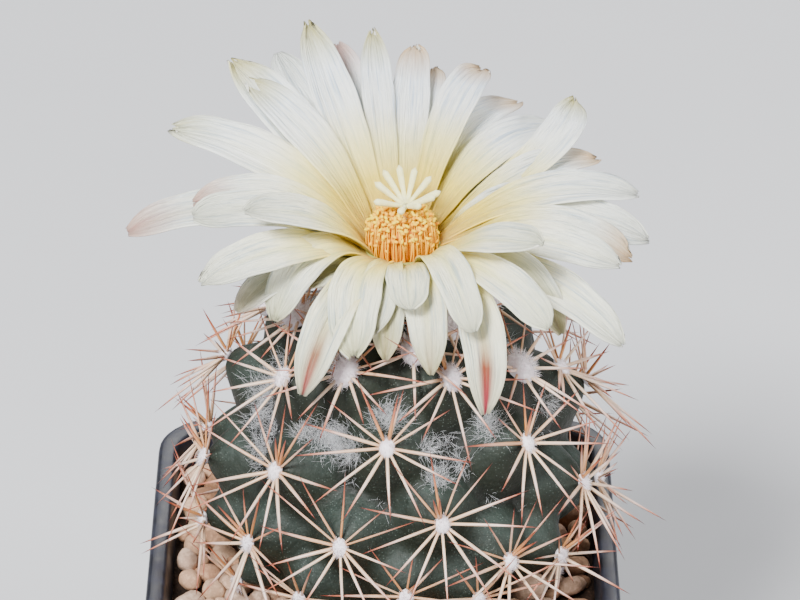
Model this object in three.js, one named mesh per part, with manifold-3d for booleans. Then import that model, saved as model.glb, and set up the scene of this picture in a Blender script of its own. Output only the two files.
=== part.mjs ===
// A globular cactus with one open white flower, in a square plastic pot of gravel.
// Millimetres, +Z up, the origin in the middle of the pot's underside.
// The flower's front, where its petals hang lowest, faces -Y.

import * as THREE from 'three';
import { mergeVertices } from 'three/addons/utils/BufferGeometryUtils.js';
import Module from 'manifold-3d';

const wasm = await Module();
wasm.setup();

const DEG = Math.PI / 180;
const GOLDEN_ANGLE = 137.508;

// Pot
const POT = {
  rimWidth: 70,
  baseWidth: 54,
  height: 65,
  wall: 1.2,
  floor: 1.8,
  rimBand: 1.7,
  rimDepth: 5,
  rimCorner: 9,
  rimRound: 0.9,
  lip: 0.6,
  baseCorner: 6,
  drainRadius: 2.4,
  drainSpread: 15,
};

// Gravel
const GRAVEL = {
  gap: 0.3,
  surface: 60.6,
  highest: 62.6,
  pebble: 5.6,
  fromWall: 2.6,
  fromBody: 3.2,
  shift: 0.7,
};

// Cactus body
const BODY = {
  x: 2.6,
  y: 2,
  coreRadius: 23,
  coreHalfHeight: 27.5,
  coreMiddle: 77,
  widest: 29.5,
  eggAbove: 32,
  eggBelow: 26,
  plugRadius: 19,
  plugFoot: 50.3,
  ground: 63,
  spiralStart: -95,
  firstAreole: -19,
  firstBelowCrown: -10,
  lastAreole: 32,
  crownHeight: 104,
  crownStep: 0.85,
  crownNarrowing: 0.7,
  tubercle: 7.9,
  fullSizeRadius: 19,
};

// Which way a tubercle points: level on the lowest, steeper by a step for each above, in degrees.
const TILT = {
  at: 10,
  rise: 20,
  step: 1.6,
  steepest: 70,
};

// The cushion of wool on a tubercle, and what a young one near the crown has more.
const WOOL = {
  radius: 1.2,
  youngRadius: 0.8,
  oval: 1.3,
  rooted: 3,
  height: 0.8,
  youngHeight: 0.9,
};

// Spines: sizes in millimetres, how far they stand off the skin in degrees, and their clearances.
const SPINES = {
  count: 7,
  length: 13.5,
  radius: 0.3,
  lowest: 10,
  highest: 26,
  apart: 0.95,
  offPetals: 1.8,
  offWall: 2.5,
  offGravel: 0.8,
};

// Flower
const FLOWER = {
  x: 2.8,
  y: 2,
  footHeight: 101.5,
  waistHeight: 105,
  throatHeight: 109,
  shoulderHeight: 110.4,
  edge: 0.4,
  footRadius: 3.1,
  throatRadius: 4.5,
  rimRadius: 6.2,
  rimHeight: 114.4,
  innerRadius: 5.1,
  innerHeight: 113.6,
  outerRadius: 5.5,
  outerHeight: 111.8,
  bladeThickness: 0.8,
  trough: 0.22,
  lean: 31,
};

// Stamens: a core, and a few of the filaments and anthers round it
const STAMENS = {
  foot: 109.4,
  top: 119.4,
  anthers: 28,
  spread: 5.1,
  anther: 0.7,
  filament: 0.3,
};

// Pistil
const PISTIL = {
  foot: 110.5,
  styleRadius: 0.6,
  stigmaHeight: 120.6,
  stigmaAside: 0.6,
  lobes: 10,
  lobeLength: 5,
  lobeRadius: 0.55,
};

// The photograph's camera, for what is placed by the pixel where it is seen.
const PHOTO = {
  aim: new THREE.Vector3(2.5, 2, 105),
  elevation: 30,
  distance: 646,
  focal: 4424,
  middleX: 400,
  middleY: 300,
};

// The areoles that can be seen, by their number on the spiral: the pixel of each. The others
// follow the spiral alone.
const AREOLES_SEEN = {
  '-10': [519, 368],
  '-8': [346, 371],
  '-5': [450, 378],
  '-3': [284, 378],
  0: [387, 448],
  2: [226, 355],
  3: [527, 443],
  5: [276, 471],
  6: [586, 379],
  8: [442, 524],
  10: [205, 457],
  11: [583, 482],
  13: [340, 547],
  16: [510, 561],
  18: [249, 543],
  21: [406, 597],
  23: [204, 519],
  24: [560, 555],
  26: [300, 599],
  29: [478, 599],
  31: [239, 582],
};

// The petals that can be seen: the pixel of the tip, its height above the table, how far the
// petal arches off the straight line to it, as a share of that line, and what is its own.
// The left side, from the front round to the back.
const LEFT_PETALS = [
  { tip: [273, 325], height: 108, arch: 0.38, knee: 0.4, width: 6 },
  { tip: [236, 313], height: 109, arch: 0.2, outer: true },
  { tip: [199, 285], height: 117, arch: 0.13, width: 5.8 },
  { tip: [192, 217], height: 122, arch: 0.14 },
  { tip: [127, 233], height: 116, arch: 0.16 },
  { tip: [243, 212], height: 126, arch: 0.12, width: 4.6 },
  { tip: [192, 203], height: 121, arch: 0.18 },
  { tip: [168, 128], height: 127, arch: 0.12, width: 6.4 },
];

// The back, from left to right.
const BACK_PETALS = [
  { tip: [228, 58], height: 134, arch: 0.05, width: 6.4 },
  { tip: [243, 77], height: 132, arch: 0.1, width: 5.8 },
  { tip: [277, 52], height: 133, arch: 0.03, width: 5.8 },
  { tip: [306, 20], height: 137, arch: 0.03, sway: 0.02, width: 6.2 },
  { tip: [336, 43], height: 131, arch: 0.03, width: 5.8, outer: true },
  { tip: [372, 27], height: 134, arch: 0.06, sway: 0.02, width: 4.4 },
  { tip: [391, 80], height: 125, arch: 0.08, outer: true },
  { tip: [415, 43], height: 131, arch: 0.08, width: 5 },
  { tip: [433, 66], height: 127, arch: 0.12 },
  { tip: [484, 68], height: 127, arch: 0.16, knee: 0.6, width: 5.6 },
  { tip: [520, 103], height: 121, arch: 0.14, knee: 0.6, sway: 0.07, width: 5.6 },
  { tip: [475, 158], height: 119, arch: 0.1, outer: true },
];

// The right side, from the back round to the front.
const RIGHT_PETALS = [
  { tip: [558, 127], height: 118, arch: 0.16, width: 6 },
  { tip: [575, 96], height: 124, arch: 0.04, knee: 0.7, sway: -0.14, width: 5.6 },
  { tip: [600, 158], height: 118, arch: 0.14, outer: true },
  { tip: [560, 155], height: 118, arch: 0.06, width: 4.8 },
  { tip: [577, 190], height: 113, arch: 0.14, width: 5 },
  { tip: [640, 195], height: 117, arch: 0.14 },
  { tip: [651, 241], height: 112, arch: 0.16 },
  { tip: [633, 260], height: 111, arch: 0.22, outer: true },
  { tip: [622, 267], height: 115, arch: 0.13, width: 5.6 },
  { tip: [542, 243], height: 125, arch: 0.06, width: 4.6 },
  { tip: [625, 347], height: 106, arch: 0.14, width: 5.8 },
  { tip: [562, 335], height: 107, arch: 0.32, outer: true },
  { tip: [549, 328], height: 114, arch: 0.15, width: 5.6 },
];

// The front, from right to left: these arch over the edge and hang.
const FRONT_PETALS = [
  { tip: [485, 416], height: 99, arch: 0.3, knee: 0.4, sway: 0.07 },
  { tip: [473, 333], height: 112, arch: 0.32, knee: 0.4, width: 5 },
  { tip: [431, 376], height: 105, arch: 0.34, knee: 0.4 },
  { tip: [410, 310], height: 115, arch: 0.16, width: 5.6 },
  { tip: [385, 361], height: 106, arch: 0.38, knee: 0.4, outer: true },
  { tip: [374, 335], height: 110, arch: 0.3, knee: 0.4, width: 5.2 },
  { tip: [354, 362], height: 107, arch: 0.34, knee: 0.4, sway: -0.08, width: 6.8 },
  { tip: [302, 396], height: 102, arch: 0.28, knee: 0.4, sway: 0.05 },
  { tip: [303, 285], height: 114, arch: 0.12, outer: true, width: 4 },
];

// Short outer petals that the others hide: an even row round the back and the sides.
const HIDDEN_PETALS = {
  count: 7,
  from: 20,
  to: 200,
  length: 16,
  rise: 20,
};

// How far a cut reaches past what it cuts, and how finely plain round things are drawn.
const PAST = 1;
const ROUND = 24;

// A repeatable draw between 0 and 1 for item i and purpose k.
function draw(i, k) {
  const v = Math.sin(i * 12.9898 + k * 78.233 + 4.137) * 43758.5453;
  return v - Math.floor(v);
}

// A draw between a and b.
function between(i, k, a, b) {
  return a + (b - a) * draw(i, k);
}

// A value read off a polyline of [key, value] points.
function along(points, key) {
  for (let i = 1; i < points.length; i += 1) {
    const [k0, v0] = points[i - 1];
    const [k1, v1] = points[i];
    if (key <= k1) {
      return v0 + ((v1 - v0) * Math.max(0, key - k0)) / (k1 - k0);
    }
  }
  return points[points.length - 1][1];
}

// A closed body through rings of points that all have the same count and turn the same way.
// The last ring may be a single point.
function loft(rings) {
  const count = rings[0].length;
  const positions = [];
  const index = [];
  const tip = rings[rings.length - 1].length === 1;
  const full = tip ? rings.slice(0, -1) : rings;
  for (const p of full.flat()) {
    positions.push(p.x, p.y, p.z);
  }
  for (let r = 0; r + 1 < full.length; r += 1) {
    for (let i = 0; i < count; i += 1) {
      const a = r * count + i;
      const b = r * count + ((i + 1) % count);
      index.push(a, b, b + count, a, b + count, a + count);
    }
  }
  const middleOf = (ring) => {
    const middle = new THREE.Vector3();
    ring.forEach((p) => middle.addScaledVector(p, 1 / ring.length));
    return middle;
  };
  const last = positions.length / 3;
  const end = tip ? rings[rings.length - 1][0] : middleOf(full[full.length - 1]);
  positions.push(end.x, end.y, end.z);
  const top = (full.length - 1) * count;
  for (let i = 0; i < count; i += 1) {
    index.push(last, top + i, top + ((i + 1) % count));
  }
  if (count === 3) {
    index.push(0, 2, 1);
  } else {
    const start = middleOf(full[0]);
    positions.push(start.x, start.y, start.z);
    for (let i = 0; i < count; i += 1) {
      index.push(last + 1, (i + 1) % count, i);
    }
  }
  const geometry = new THREE.BufferGeometry();
  geometry.setAttribute('position', new THREE.Float32BufferAttribute(positions, 3));
  geometry.setIndex(volumeOf(positions, index) < 0 ? index.reverse() : index);
  return geometry;
}

// The volume inside a list of corner triples, negative when they face inward.
function volumeOf(positions, index) {
  const corner = (i) => new THREE.Vector3().fromArray(positions, index[i] * 3);
  let six = 0;
  for (let i = 0; i < index.length; i += 3) {
    six += corner(i).dot(corner(i + 1).cross(corner(i + 2)));
  }
  return six / 6;
}

function solidOf(geometry) {
  geometry.deleteAttribute('normal');
  geometry.deleteAttribute('uv');
  const merged = mergeVertices(geometry, 1e-5);
  const mesh = new wasm.Mesh({
    numProp: 3,
    vertProperties: new Float32Array(merged.attributes.position.array),
    triVerts: new Uint32Array(merged.index.array),
  });
  mesh.merge();
  return new wasm.Manifold(mesh);
}

// Fuses a list of closed geometries pair by pair.
function fuse(solids) {
  let left = solids;
  while (left.length > 1) {
    const next = [];
    for (let i = 0; i < left.length; i += 2) {
      next.push(i + 1 < left.length ? left[i].add(left[i + 1]) : left[i]);
    }
    left = next;
  }
  return left[0];
}

// The corner triples of a solid's outer skin: sealed hollows and loose scraps are left out.
function outerSkin(mesh) {
  const owner = Array.from({ length: mesh.numVert }, (_, i) => i);
  const find = (i) => {
    let at = i;
    while (owner[at] !== at) {
      owner[at] = owner[owner[at]];
      at = owner[at];
    }
    return at;
  };
  const triples = [];
  for (let i = 0; i < mesh.numTri; i += 1) {
    const corners = [0, 1, 2].map((k) => mesh.triVerts[i * 3 + k]);
    owner[find(corners[1])] = find(corners[0]);
    owner[find(corners[2])] = find(corners[0]);
    triples.push(corners);
  }
  const count = new Map();
  triples.forEach(([a]) => count.set(find(a), (count.get(find(a)) ?? 0) + 1));
  const largest = [...count.entries()].sort((p, q) => q[1] - p[1])[0][0];
  return triples.filter(([a]) => find(a) === largest);
}

function geometryOf(solid) {
  const mesh = solid.getMesh();
  const positions = new Float32Array(mesh.numVert * 3);
  for (let i = 0; i < mesh.numVert; i += 1) {
    for (let k = 0; k < 3; k += 1) {
      positions[i * 3 + k] = mesh.vertProperties[i * mesh.numProp + k];
    }
  }
  const geometry = new THREE.BufferGeometry();
  geometry.setAttribute('position', new THREE.BufferAttribute(positions, 3));
  geometry.setIndex(outerSkin(mesh).flat());
  geometry.computeVertexNormals();
  return geometry;
}

// A level ring of points with the given radius.
function circle(radius, z, sides, x = 0, y = 0) {
  const ring = [];
  for (let i = 0; i < sides; i += 1) {
    const a = (i / sides) * 2 * Math.PI;
    ring.push(new THREE.Vector3(x + radius * Math.cos(a), y + radius * Math.sin(a), z));
  }
  return ring;
}

// A level ring of points round a square with rounded corners.
function roundedSquare(width, corner, z, steps = 4) {
  const ring = [];
  const inset = width / 2 - corner;
  for (let quarter = 0; quarter < 4; quarter += 1) {
    const mid = (45 + 90 * quarter) * DEG;
    const cx = inset * Math.sign(Math.cos(mid));
    const cy = inset * Math.sign(Math.sin(mid));
    for (let i = 0; i <= steps; i += 1) {
      const a = (90 * quarter + (90 * i) / steps) * DEG;
      ring.push(new THREE.Vector3(cx + corner * Math.cos(a), cy + corner * Math.sin(a), z));
    }
  }
  return ring;
}

// The pot's outside width at a height, below its rim.
function potWidth(z) {
  const upper = POT.rimWidth - 2 * POT.rimBand;
  return POT.baseWidth + ((upper - POT.baseWidth) * z) / POT.height;
}

function potCorner(z) {
  return POT.baseCorner + ((POT.rimCorner - 1 - POT.baseCorner) * z) / POT.height;
}

function makePot() {
  const { height: top, rimWidth, rimCorner, rimRound, lip } = POT;
  const skirt = top - POT.rimDepth;
  const inner = (z) => roundedSquare(potWidth(z) - 2 * POT.wall, potCorner(z) - POT.wall, z);
  const outer = (z) => roundedSquare(potWidth(z), potCorner(z), z);
  const body = solidOf(loft([
    outer(0),
    outer(skirt),
    roundedSquare(rimWidth - lip, rimCorner, skirt),
    roundedSquare(rimWidth, rimCorner, top - rimRound),
    roundedSquare(rimWidth - rimRound, rimCorner - rimRound / 2, top),
    roundedSquare(rimWidth - 2 * (POT.rimBand + lip), rimCorner - 2 * rimRound, top),
    inner(top - rimRound),
    inner(POT.floor),
  ]));
  const holes = [];
  for (let i = 0; i < 4; i += 1) {
    const a = (45 + 90 * i) * DEG;
    const reach = POT.drainSpread * Math.SQRT2;
    const x = reach * Math.cos(a);
    const y = reach * Math.sin(a);
    holes.push(solidOf(loft([circle(POT.drainRadius, -PAST, ROUND / 2, x, y),
      circle(POT.drainRadius, POT.floor + PAST, ROUND / 2, x, y)])));
  }
  return body.subtract(fuse(holes));
}

// A rounded lump: a low sphere stretched to the given half sizes, turned and moved.
function lump(middle, half, turn) {
  const geometry = new THREE.IcosahedronGeometry(1, 0);
  geometry.scale(half.x, half.y, half.z);
  geometry.applyQuaternion(turn);
  geometry.translate(middle.x, middle.y, middle.z);
  return geometry;
}

function makeGravel() {
  const side = (z) => potWidth(z) - 2 * POT.wall - 2 * GRAVEL.gap;
  const corner = (z) => potCorner(z) - POT.wall - GRAVEL.gap;
  const ring = (z) => roundedSquare(side(z), corner(z), z);
  let bed = solidOf(loft([ring(POT.floor + GRAVEL.gap), ring(GRAVEL.surface)]));
  const pebbles = [];
  const reach = side(GRAVEL.surface) / 2 - GRAVEL.fromWall;
  const rows = Math.ceil(reach / GRAVEL.pebble) + 1;
  for (let row = -rows; row <= rows; row += 1) {
    for (let column = -rows; column <= rows; column += 1) {
      const id = row * 40 + column;
      const size = between(id, 1, 0.8, 1.2) * GRAVEL.pebble / 2;
      const x = (column + (row % 2) / 2) * GRAVEL.pebble + between(id, 2, -GRAVEL.shift, GRAVEL.shift);
      const y = row * GRAVEL.pebble * 0.9 + between(id, 3, -GRAVEL.shift, GRAVEL.shift);
      const fromBody = Math.hypot(x - BODY.x, y - BODY.y);
      const inSquare = Math.abs(x) < reach && Math.abs(y) < reach;
      const offCorner = Math.abs(x) + Math.abs(y) < 2 * reach - GRAVEL.fromWall;
      if (inSquare && offCorner && fromBody > BODY.plugRadius + GRAVEL.fromBody) {
        const half = new THREE.Vector3(size * 1.15, size * between(id, 4, 0.75, 1), size * 0.8);
        const turn = new THREE.Quaternion().setFromEuler(
          new THREE.Euler(between(id, 5, -0.3, 0.3), between(id, 6, -0.3, 0.3), draw(id, 7) * 6));
        const z = Math.min(GRAVEL.surface + between(id, 8, -0.3, 0.5),
          GRAVEL.highest - half.z - GRAVEL.gap);
        pebbles.push(solidOf(lump(new THREE.Vector3(x, y, z), half, turn)));
      }
    }
  }
  bed = bed.add(fuse(pebbles));
  const hole = loft([circle(BODY.plugRadius + 0.5, BODY.plugFoot - GRAVEL.gap, 32, BODY.x, BODY.y),
    circle(BODY.plugRadius + 0.5, POT.height, 32, BODY.x, BODY.y)]);
  return bed.subtract(solidOf(hole));
}

// The camera's place and the direction of the sight line through a pixel.
function sightLine([column, row]) {
  const tilt = PHOTO.elevation * DEG;
  const ahead = new THREE.Vector3(0, Math.cos(tilt), -Math.sin(tilt));
  const above = new THREE.Vector3(0, Math.sin(tilt), Math.cos(tilt));
  const eye = PHOTO.aim.clone().addScaledVector(ahead, -PHOTO.distance);
  const way = ahead.clone()
    .addScaledVector(above, (PHOTO.middleY - row) / PHOTO.focal)
    .setX((column - PHOTO.middleX) / PHOTO.focal);
  return { eye, way };
}

// The point at a height that is seen at a pixel.
function seenAtHeight(pixel, height) {
  const { eye, way } = sightLine(pixel);
  return eye.addScaledVector(way, (height - eye.z) / way.z);
}

// The near point of the egg that the areoles lie on, seen at a pixel, or the nearest to it.
function seenOnEgg(pixel) {
  const meet = (half) => {
    const { eye, way } = sightLine(pixel);
    const shrink = new THREE.Vector3(1 / BODY.widest, 1 / BODY.widest, 1 / half);
    const p = eye.clone().sub(new THREE.Vector3(BODY.x, BODY.y, BODY.coreMiddle)).multiply(shrink);
    const d = way.clone().multiply(shrink);
    const a = d.dot(d);
    const b = p.dot(d);
    const c = p.dot(p) - 1;
    return eye.addScaledVector(way, (-b - Math.sqrt(Math.max(0, b * b - a * c))) / a);
  };
  const upper = meet(BODY.eggAbove);
  return upper.z > BODY.coreMiddle ? upper : meet(BODY.eggBelow);
}

// The egg's radius at a height.
function eggRadius(z) {
  const half = z > BODY.coreMiddle ? BODY.eggAbove : BODY.eggBelow;
  return BODY.widest * Math.sqrt(Math.max(0, 1 - ((z - BODY.coreMiddle) / half) ** 2));
}

// Where areole n sits, which way its tubercle points, and its size against a full one. The
// areoles climb the egg by a millimetre each, and lie closer together on the crown.
function areole(n) {
  const crown = Math.max(0, BODY.firstBelowCrown - n);
  const height = BODY.crownHeight - (n - BODY.firstBelowCrown) - BODY.crownStep * crown;
  const spin = (BODY.spiralStart + GOLDEN_ANGLE * n) * DEG;
  const reach = eggRadius(BODY.crownHeight - Math.max(0, n - BODY.firstBelowCrown))
    - BODY.crownNarrowing * crown;
  const turned = new THREE.Vector3(Math.cos(spin), Math.sin(spin), 0);
  const seen = AREOLES_SEEN[n];
  const point = seen ? seenOnEgg(seen)
    : new THREE.Vector3(BODY.x, BODY.y, height).addScaledVector(turned, reach);
  const outward = new THREE.Vector3(point.x - BODY.x, point.y - BODY.y, 0);
  const radius = outward.length();
  outward.normalize();
  const rise = Math.min(TILT.steepest, TILT.rise - TILT.step * (n - TILT.at)) * DEG;
  const axis = outward.clone().multiplyScalar(Math.cos(rise)).setZ(Math.sin(rise));
  const side = new THREE.Vector3(-outward.y, outward.x, 0);
  const upper = new THREE.Vector3().crossVectors(axis, side);
  const size = Math.min(1, radius / BODY.fullSizeRadius);
  return { n, point, axis, side, upper, size, tall: toCore(point, axis) };
}

// How far a point stands off the body's plain core, measured back along an axis.
function toCore(point, axis) {
  const scale = new THREE.Vector3(1 / BODY.coreRadius, 1 / BODY.coreRadius, 1 / BODY.coreHalfHeight);
  const middle = new THREE.Vector3(BODY.x, BODY.y, BODY.coreMiddle);
  const p = point.clone().sub(middle).multiply(scale);
  const d = axis.clone().multiply(scale);
  const a = d.dot(d);
  const b = -2 * p.dot(d);
  const c = p.dot(p) - 1;
  return (-b - Math.sqrt(Math.max(0, b * b - 4 * a * c))) / (2 * a);
}

// A ring of points round an areole's axis, at a distance below its tip.
function axisRing(place, radius, below, sides, tall = 1) {
  const ring = [];
  for (let i = 0; i < sides; i += 1) {
    const a = (i / sides) * 2 * Math.PI;
    ring.push(place.point.clone()
      .addScaledVector(place.axis, -below)
      .addScaledVector(place.side, radius * Math.cos(a))
      .addScaledVector(place.upper, radius * tall * Math.sin(a)));
  }
  return ring;
}

// A point of the body's skin: the core's point, lifted by every tubercle near it. The lifts are
// blended so that neighbours meet in a crease.
function skinPoint(azimuth, latitude, places) {
  const level = BODY.coreRadius * Math.cos(latitude);
  const core = new THREE.Vector3(BODY.x + level * Math.cos(azimuth), BODY.y + level * Math.sin(azimuth),
    BODY.coreMiddle + BODY.coreHalfHeight * Math.sin(latitude));
  const normal = new THREE.Vector3(Math.cos(latitude) * Math.cos(azimuth),
    Math.cos(latitude) * Math.sin(azimuth), Math.sin(latitude));
  const lift = new THREE.Vector3();
  let weights = 1;
  for (const { point, axis, size, tall } of places) {
    const off = core.clone().sub(point);
    const share = off.cross(axis).length() / (BODY.tubercle * size);
    if (share < 1 && normal.dot(axis) > 0.3) {
      const height = 1 - share ** 1.35;
      const weight = Math.exp(9 * height);
      lift.addScaledVector(axis, weight * height * tall);
      weights += weight;
    }
  }
  const foot = THREE.MathUtils.smoothstep(core.z, BODY.ground - 1, BODY.ground + 3);
  const crown = 1 - THREE.MathUtils.smoothstep(latitude, 68 * DEG, 81 * DEG);
  return core.addScaledVector(lift, (foot * crown) / weights);
}

// The oval cushion of wool at a tubercle's tip, larger and taller near the crown.
function woolPad(place) {
  const young = Math.min(1, Math.max(0, -2 - place.n) / 6);
  const radius = WOOL.radius + WOOL.youngRadius * young;
  const height = WOOL.height + WOOL.youngHeight * young;
  return loft([
    axisRing(place, radius, WOOL.rooted, 5, WOOL.oval),
    axisRing(place, radius * 0.9, -height / 2, 5, WOOL.oval),
    axisRing(place, 0, -height, 1),
  ]);
}

// The hidden petals' tips, worked out from their length.
function hiddenPetals() {
  const { count, from, to, length, rise } = HIDDEN_PETALS;
  return Array.from({ length: count }, (_, i) => {
    const azimuth = (from + ((to - from) * i) / (count - 1)) * DEG;
    const pitch = (rise + between(i, 20, -8, 8)) * DEG;
    const flat = FLOWER.outerRadius + length * Math.cos(pitch);
    const spot = new THREE.Vector3(FLOWER.x + flat * Math.cos(azimuth), FLOWER.y + flat * Math.sin(azimuth),
      FLOWER.outerHeight + length * Math.sin(pitch));
    return { spot, arch: 0.1, outer: true };
  });
}

// Every petal with its root, its tip and the way it bends.
const PETALS = [...LEFT_PETALS, ...BACK_PETALS, ...RIGHT_PETALS, ...FRONT_PETALS, ...hiddenPetals()]
  .map(({ tip, height, spot, arch, knee = 0.5, sway = 0, outer = false, width = outer ? 4.6 : 5.4 }) => {
    const end = spot ?? seenAtHeight(tip, height);
    const azimuth = Math.atan2(end.y - FLOWER.y, end.x - FLOWER.x);
    const radius = outer ? FLOWER.outerRadius : FLOWER.innerRadius;
    const root = new THREE.Vector3(FLOWER.x + radius * Math.cos(azimuth),
      FLOWER.y + radius * Math.sin(azimuth), outer ? FLOWER.outerHeight : FLOWER.innerHeight);
    const level = new THREE.Vector3(-Math.sin(azimuth), Math.cos(azimuth), 0);
    const chord = end.clone().sub(root);
    const face = new THREE.Vector3().crossVectors(chord, level);
    const bend = root.clone().addScaledVector(chord, knee)
      .addScaledVector(face, 2 * arch)
      .addScaledVector(level, 2 * sway * chord.length());
    const lean = FLOWER.lean * DEG * Math.cos(azimuth);
    return { curve: new THREE.QuadraticBezierCurve3(root, bend, end), level, lean, arch, width };
  });

// Points of a petal's middle line, with the direction across it and the one off its face. The
// blades at the sides lean their faces towards -Y.
function petalLine({ curve, level, lean }, steps) {
  return Array.from({ length: steps + 1 }, (_, i) => {
    const s = i / steps;
    const tangent = curve.getTangent(s);
    const across = level.clone().addScaledVector(tangent, -level.dot(tangent)).normalize();
    across.applyAxisAngle(tangent, lean * Math.min(1, 2 * s));
    const face = new THREE.Vector3().crossVectors(tangent, across);
    return { s, point: curve.getPoint(s), across, face };
  });
}

const PETAL_WIDTH = [[0, 0.3], [0.2, 0.62], [0.45, 0.9], [0.65, 1], [0.82, 0.85], [0.93, 0.5], [1, 0.1]];

// A petal: a shallow trough, thick along its middle and drawn to an edge on both sides.
function petal(shape) {
  const steps = 3 + Math.round(shape.arch * 7);
  return loft(petalLine(shape, steps).map(({ s, point, across, face }) => {
    const half = (shape.width / 2) * along(PETAL_WIDTH, s);
    const thick = FLOWER.bladeThickness * (s === 1 ? 0.6 : 1);
    const lift = FLOWER.trough * half;
    return [
      point.clone().addScaledVector(across, half).addScaledVector(face, lift),
      point.clone(),
      point.clone().addScaledVector(across, -half).addScaledVector(face, lift),
      point.clone().addScaledVector(face, -thick),
    ];
  }));
}

function makeFlower() {
  const { footRadius, rimRadius, throatRadius, rimHeight, edge } = FLOWER;
  const turned = (radius, z) => circle(radius, z, 16, FLOWER.x, FLOWER.y);
  const tube = loft([
    turned(footRadius, FLOWER.footHeight),
    turned(footRadius, FLOWER.waistHeight),
    turned(rimRadius - edge, FLOWER.shoulderHeight),
    turned(rimRadius, rimHeight - edge),
    turned(rimRadius - 2 * edge, rimHeight),
    turned(throatRadius, rimHeight - edge),
    turned(throatRadius - edge, FLOWER.throatHeight),
  ]);
  return fuse([tube, ...PETALS.map(petal)].map(solidOf));
}

// Points spread over every petal, which the spines keep clear of.
const PETAL_POINTS = PETALS.flatMap((shape) => petalLine(shape, 20).flatMap((station) => {
  const half = (shape.width / 2) * along(PETAL_WIDTH, station.s);
  return [-1, -0.5, 0, 0.5, 1].map((k) => station.point.clone().addScaledVector(station.across, k * half));
}));

// True where a spine may not pass: in the gravel, the pot's wall, the tube or a petal.
function blocked(p) {
  if (p.z < GRAVEL.highest + SPINES.offGravel) {
    return true;
  }
  const outside = Math.max(Math.abs(p.x), Math.abs(p.y)) > potWidth(POT.height) / 2 - SPINES.offWall;
  if (p.z < POT.height + SPINES.offGravel && outside) {
    return true;
  }
  if (Math.hypot(p.x - FLOWER.x, p.y - FLOWER.y) < FLOWER.rimRadius + 1) {
    return true;
  }
  return PETAL_POINTS.some((q) => q.distanceTo(p) < SPINES.offPetals);
}

// A straight spine's root and its direction, at an angle round the areole and off the skin.
function spineLine(place, round, raise) {
  const level = place.side.clone().multiplyScalar(Math.cos(round))
    .addScaledVector(place.upper, Math.sin(round));
  const direction = level.clone().multiplyScalar(Math.cos(raise))
    .addScaledVector(place.axis, Math.sin(raise));
  const root = place.point.clone().addScaledVector(level, 0.9).addScaledVector(place.axis, -0.15);
  return { root, direction, across: new THREE.Vector3().crossVectors(direction, place.axis).normalize() };
}

// A three-sided needle.
function needle({ root, direction, across }, length) {
  const other = new THREE.Vector3().crossVectors(direction, across);
  const ring = [0, 1, 2].map((i) => {
    const a = (90 - 120 * i) * DEG;
    return root.clone().addScaledVector(across, SPINES.radius * Math.cos(a))
      .addScaledVector(other, -SPINES.radius * Math.sin(a));
  });
  return loft([ring, [root.clone().addScaledVector(direction, length)]]);
}

// The spines of one areole in an even rosette. Each is raised further or shortened until it is
// clear of what it may not cross and of the spines before it.
function rosette(place, taken) {
  const found = [];
  for (let i = 0; i < SPINES.count; i += 1) {
    const id = place.n * 30 + i;
    const round = ((i + between(id, 1, -0.3, 0.3)) / SPINES.count) * 2 * Math.PI;
    const length = SPINES.length * place.size * between(id, 2, 0.8, 1.15);
    const raise = between(id, 3, SPINES.lowest, SPINES.highest);
    const tries = [[0, 1], [7, 1], [14, 1], [21, 1], [28, 0.9], [0, 0.75], [35, 0.8], [0, 0.5], [30, 0.5]];
    for (const [more, part] of tries) {
      const line = spineLine(place, round, (raise + more) * DEG);
      const points = [];
      for (let d = 1.5; d <= length * part; d += 0.75) {
        points.push(line.root.clone().addScaledVector(line.direction, d));
      }
      const crosses = points.some((p) => blocked(p)
        || taken.some((q) => q.distanceTo(p) < SPINES.apart && q.owner !== place.n));
      if (!crosses) {
        points.forEach((p) => taken.push(Object.assign(p, { owner: place.n })));
        found.push(needle(line, length * part));
        break;
      }
    }
  }
  return found;
}

function makeStem() {
  const { x, y, plugRadius, plugFoot, ground } = BODY;
  const columns = 48;
  const rows = 18;
  const lowest = -33;
  const highest = 85;
  const gap = 0.4;
  const places = [];
  for (let n = BODY.firstAreole; n <= BODY.lastAreole; n += 1) {
    places.push(areole(n));
  }
  const skin = [];
  for (let row = 0; row <= rows; row += 1) {
    const latitude = (lowest + ((highest - lowest) * row) / rows) * DEG;
    skin.push(circle(1, 0, columns).map((p) => skinPoint(Math.atan2(p.y, p.x), latitude, places)));
  }
  const flesh = solidOf(loft([
    circle(plugRadius, plugFoot, columns, x, y),
    circle(plugRadius, ground - 2, columns, x, y),
    ...skin,
  ]));
  const plate = loft([circle(50, plugFoot - 5, ROUND, x, y), circle(50, ground, ROUND, x, y)]);
  const skirt = solidOf(plate).subtract(solidOf(loft([
    circle(plugRadius + gap / 2, plugFoot - 5 - PAST, 36, x, y),
    circle(plugRadius + gap / 2, ground + PAST, 36, x, y),
  ])));
  const taken = [];
  const armed = fuse([
    ...places.map(woolPad),
    ...places.flatMap((place) => rosette(place, taken)),
  ].map(solidOf));
  const pit = FLOWER.footRadius + gap;
  const mouth = FLOWER.rimRadius + gap;
  const well = solidOf(loft([
    circle(pit, FLOWER.footHeight - gap, ROUND, FLOWER.x, FLOWER.y),
    circle(pit, FLOWER.waistHeight + PAST, ROUND, FLOWER.x, FLOWER.y),
    circle(mouth, FLOWER.shoulderHeight, ROUND, FLOWER.x, FLOWER.y),
    circle(mouth, FLOWER.rimHeight + PAST, ROUND, FLOWER.x, FLOWER.y),
  ]));
  return flesh.add(armed).subtract(skirt).subtract(well);
}

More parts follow.
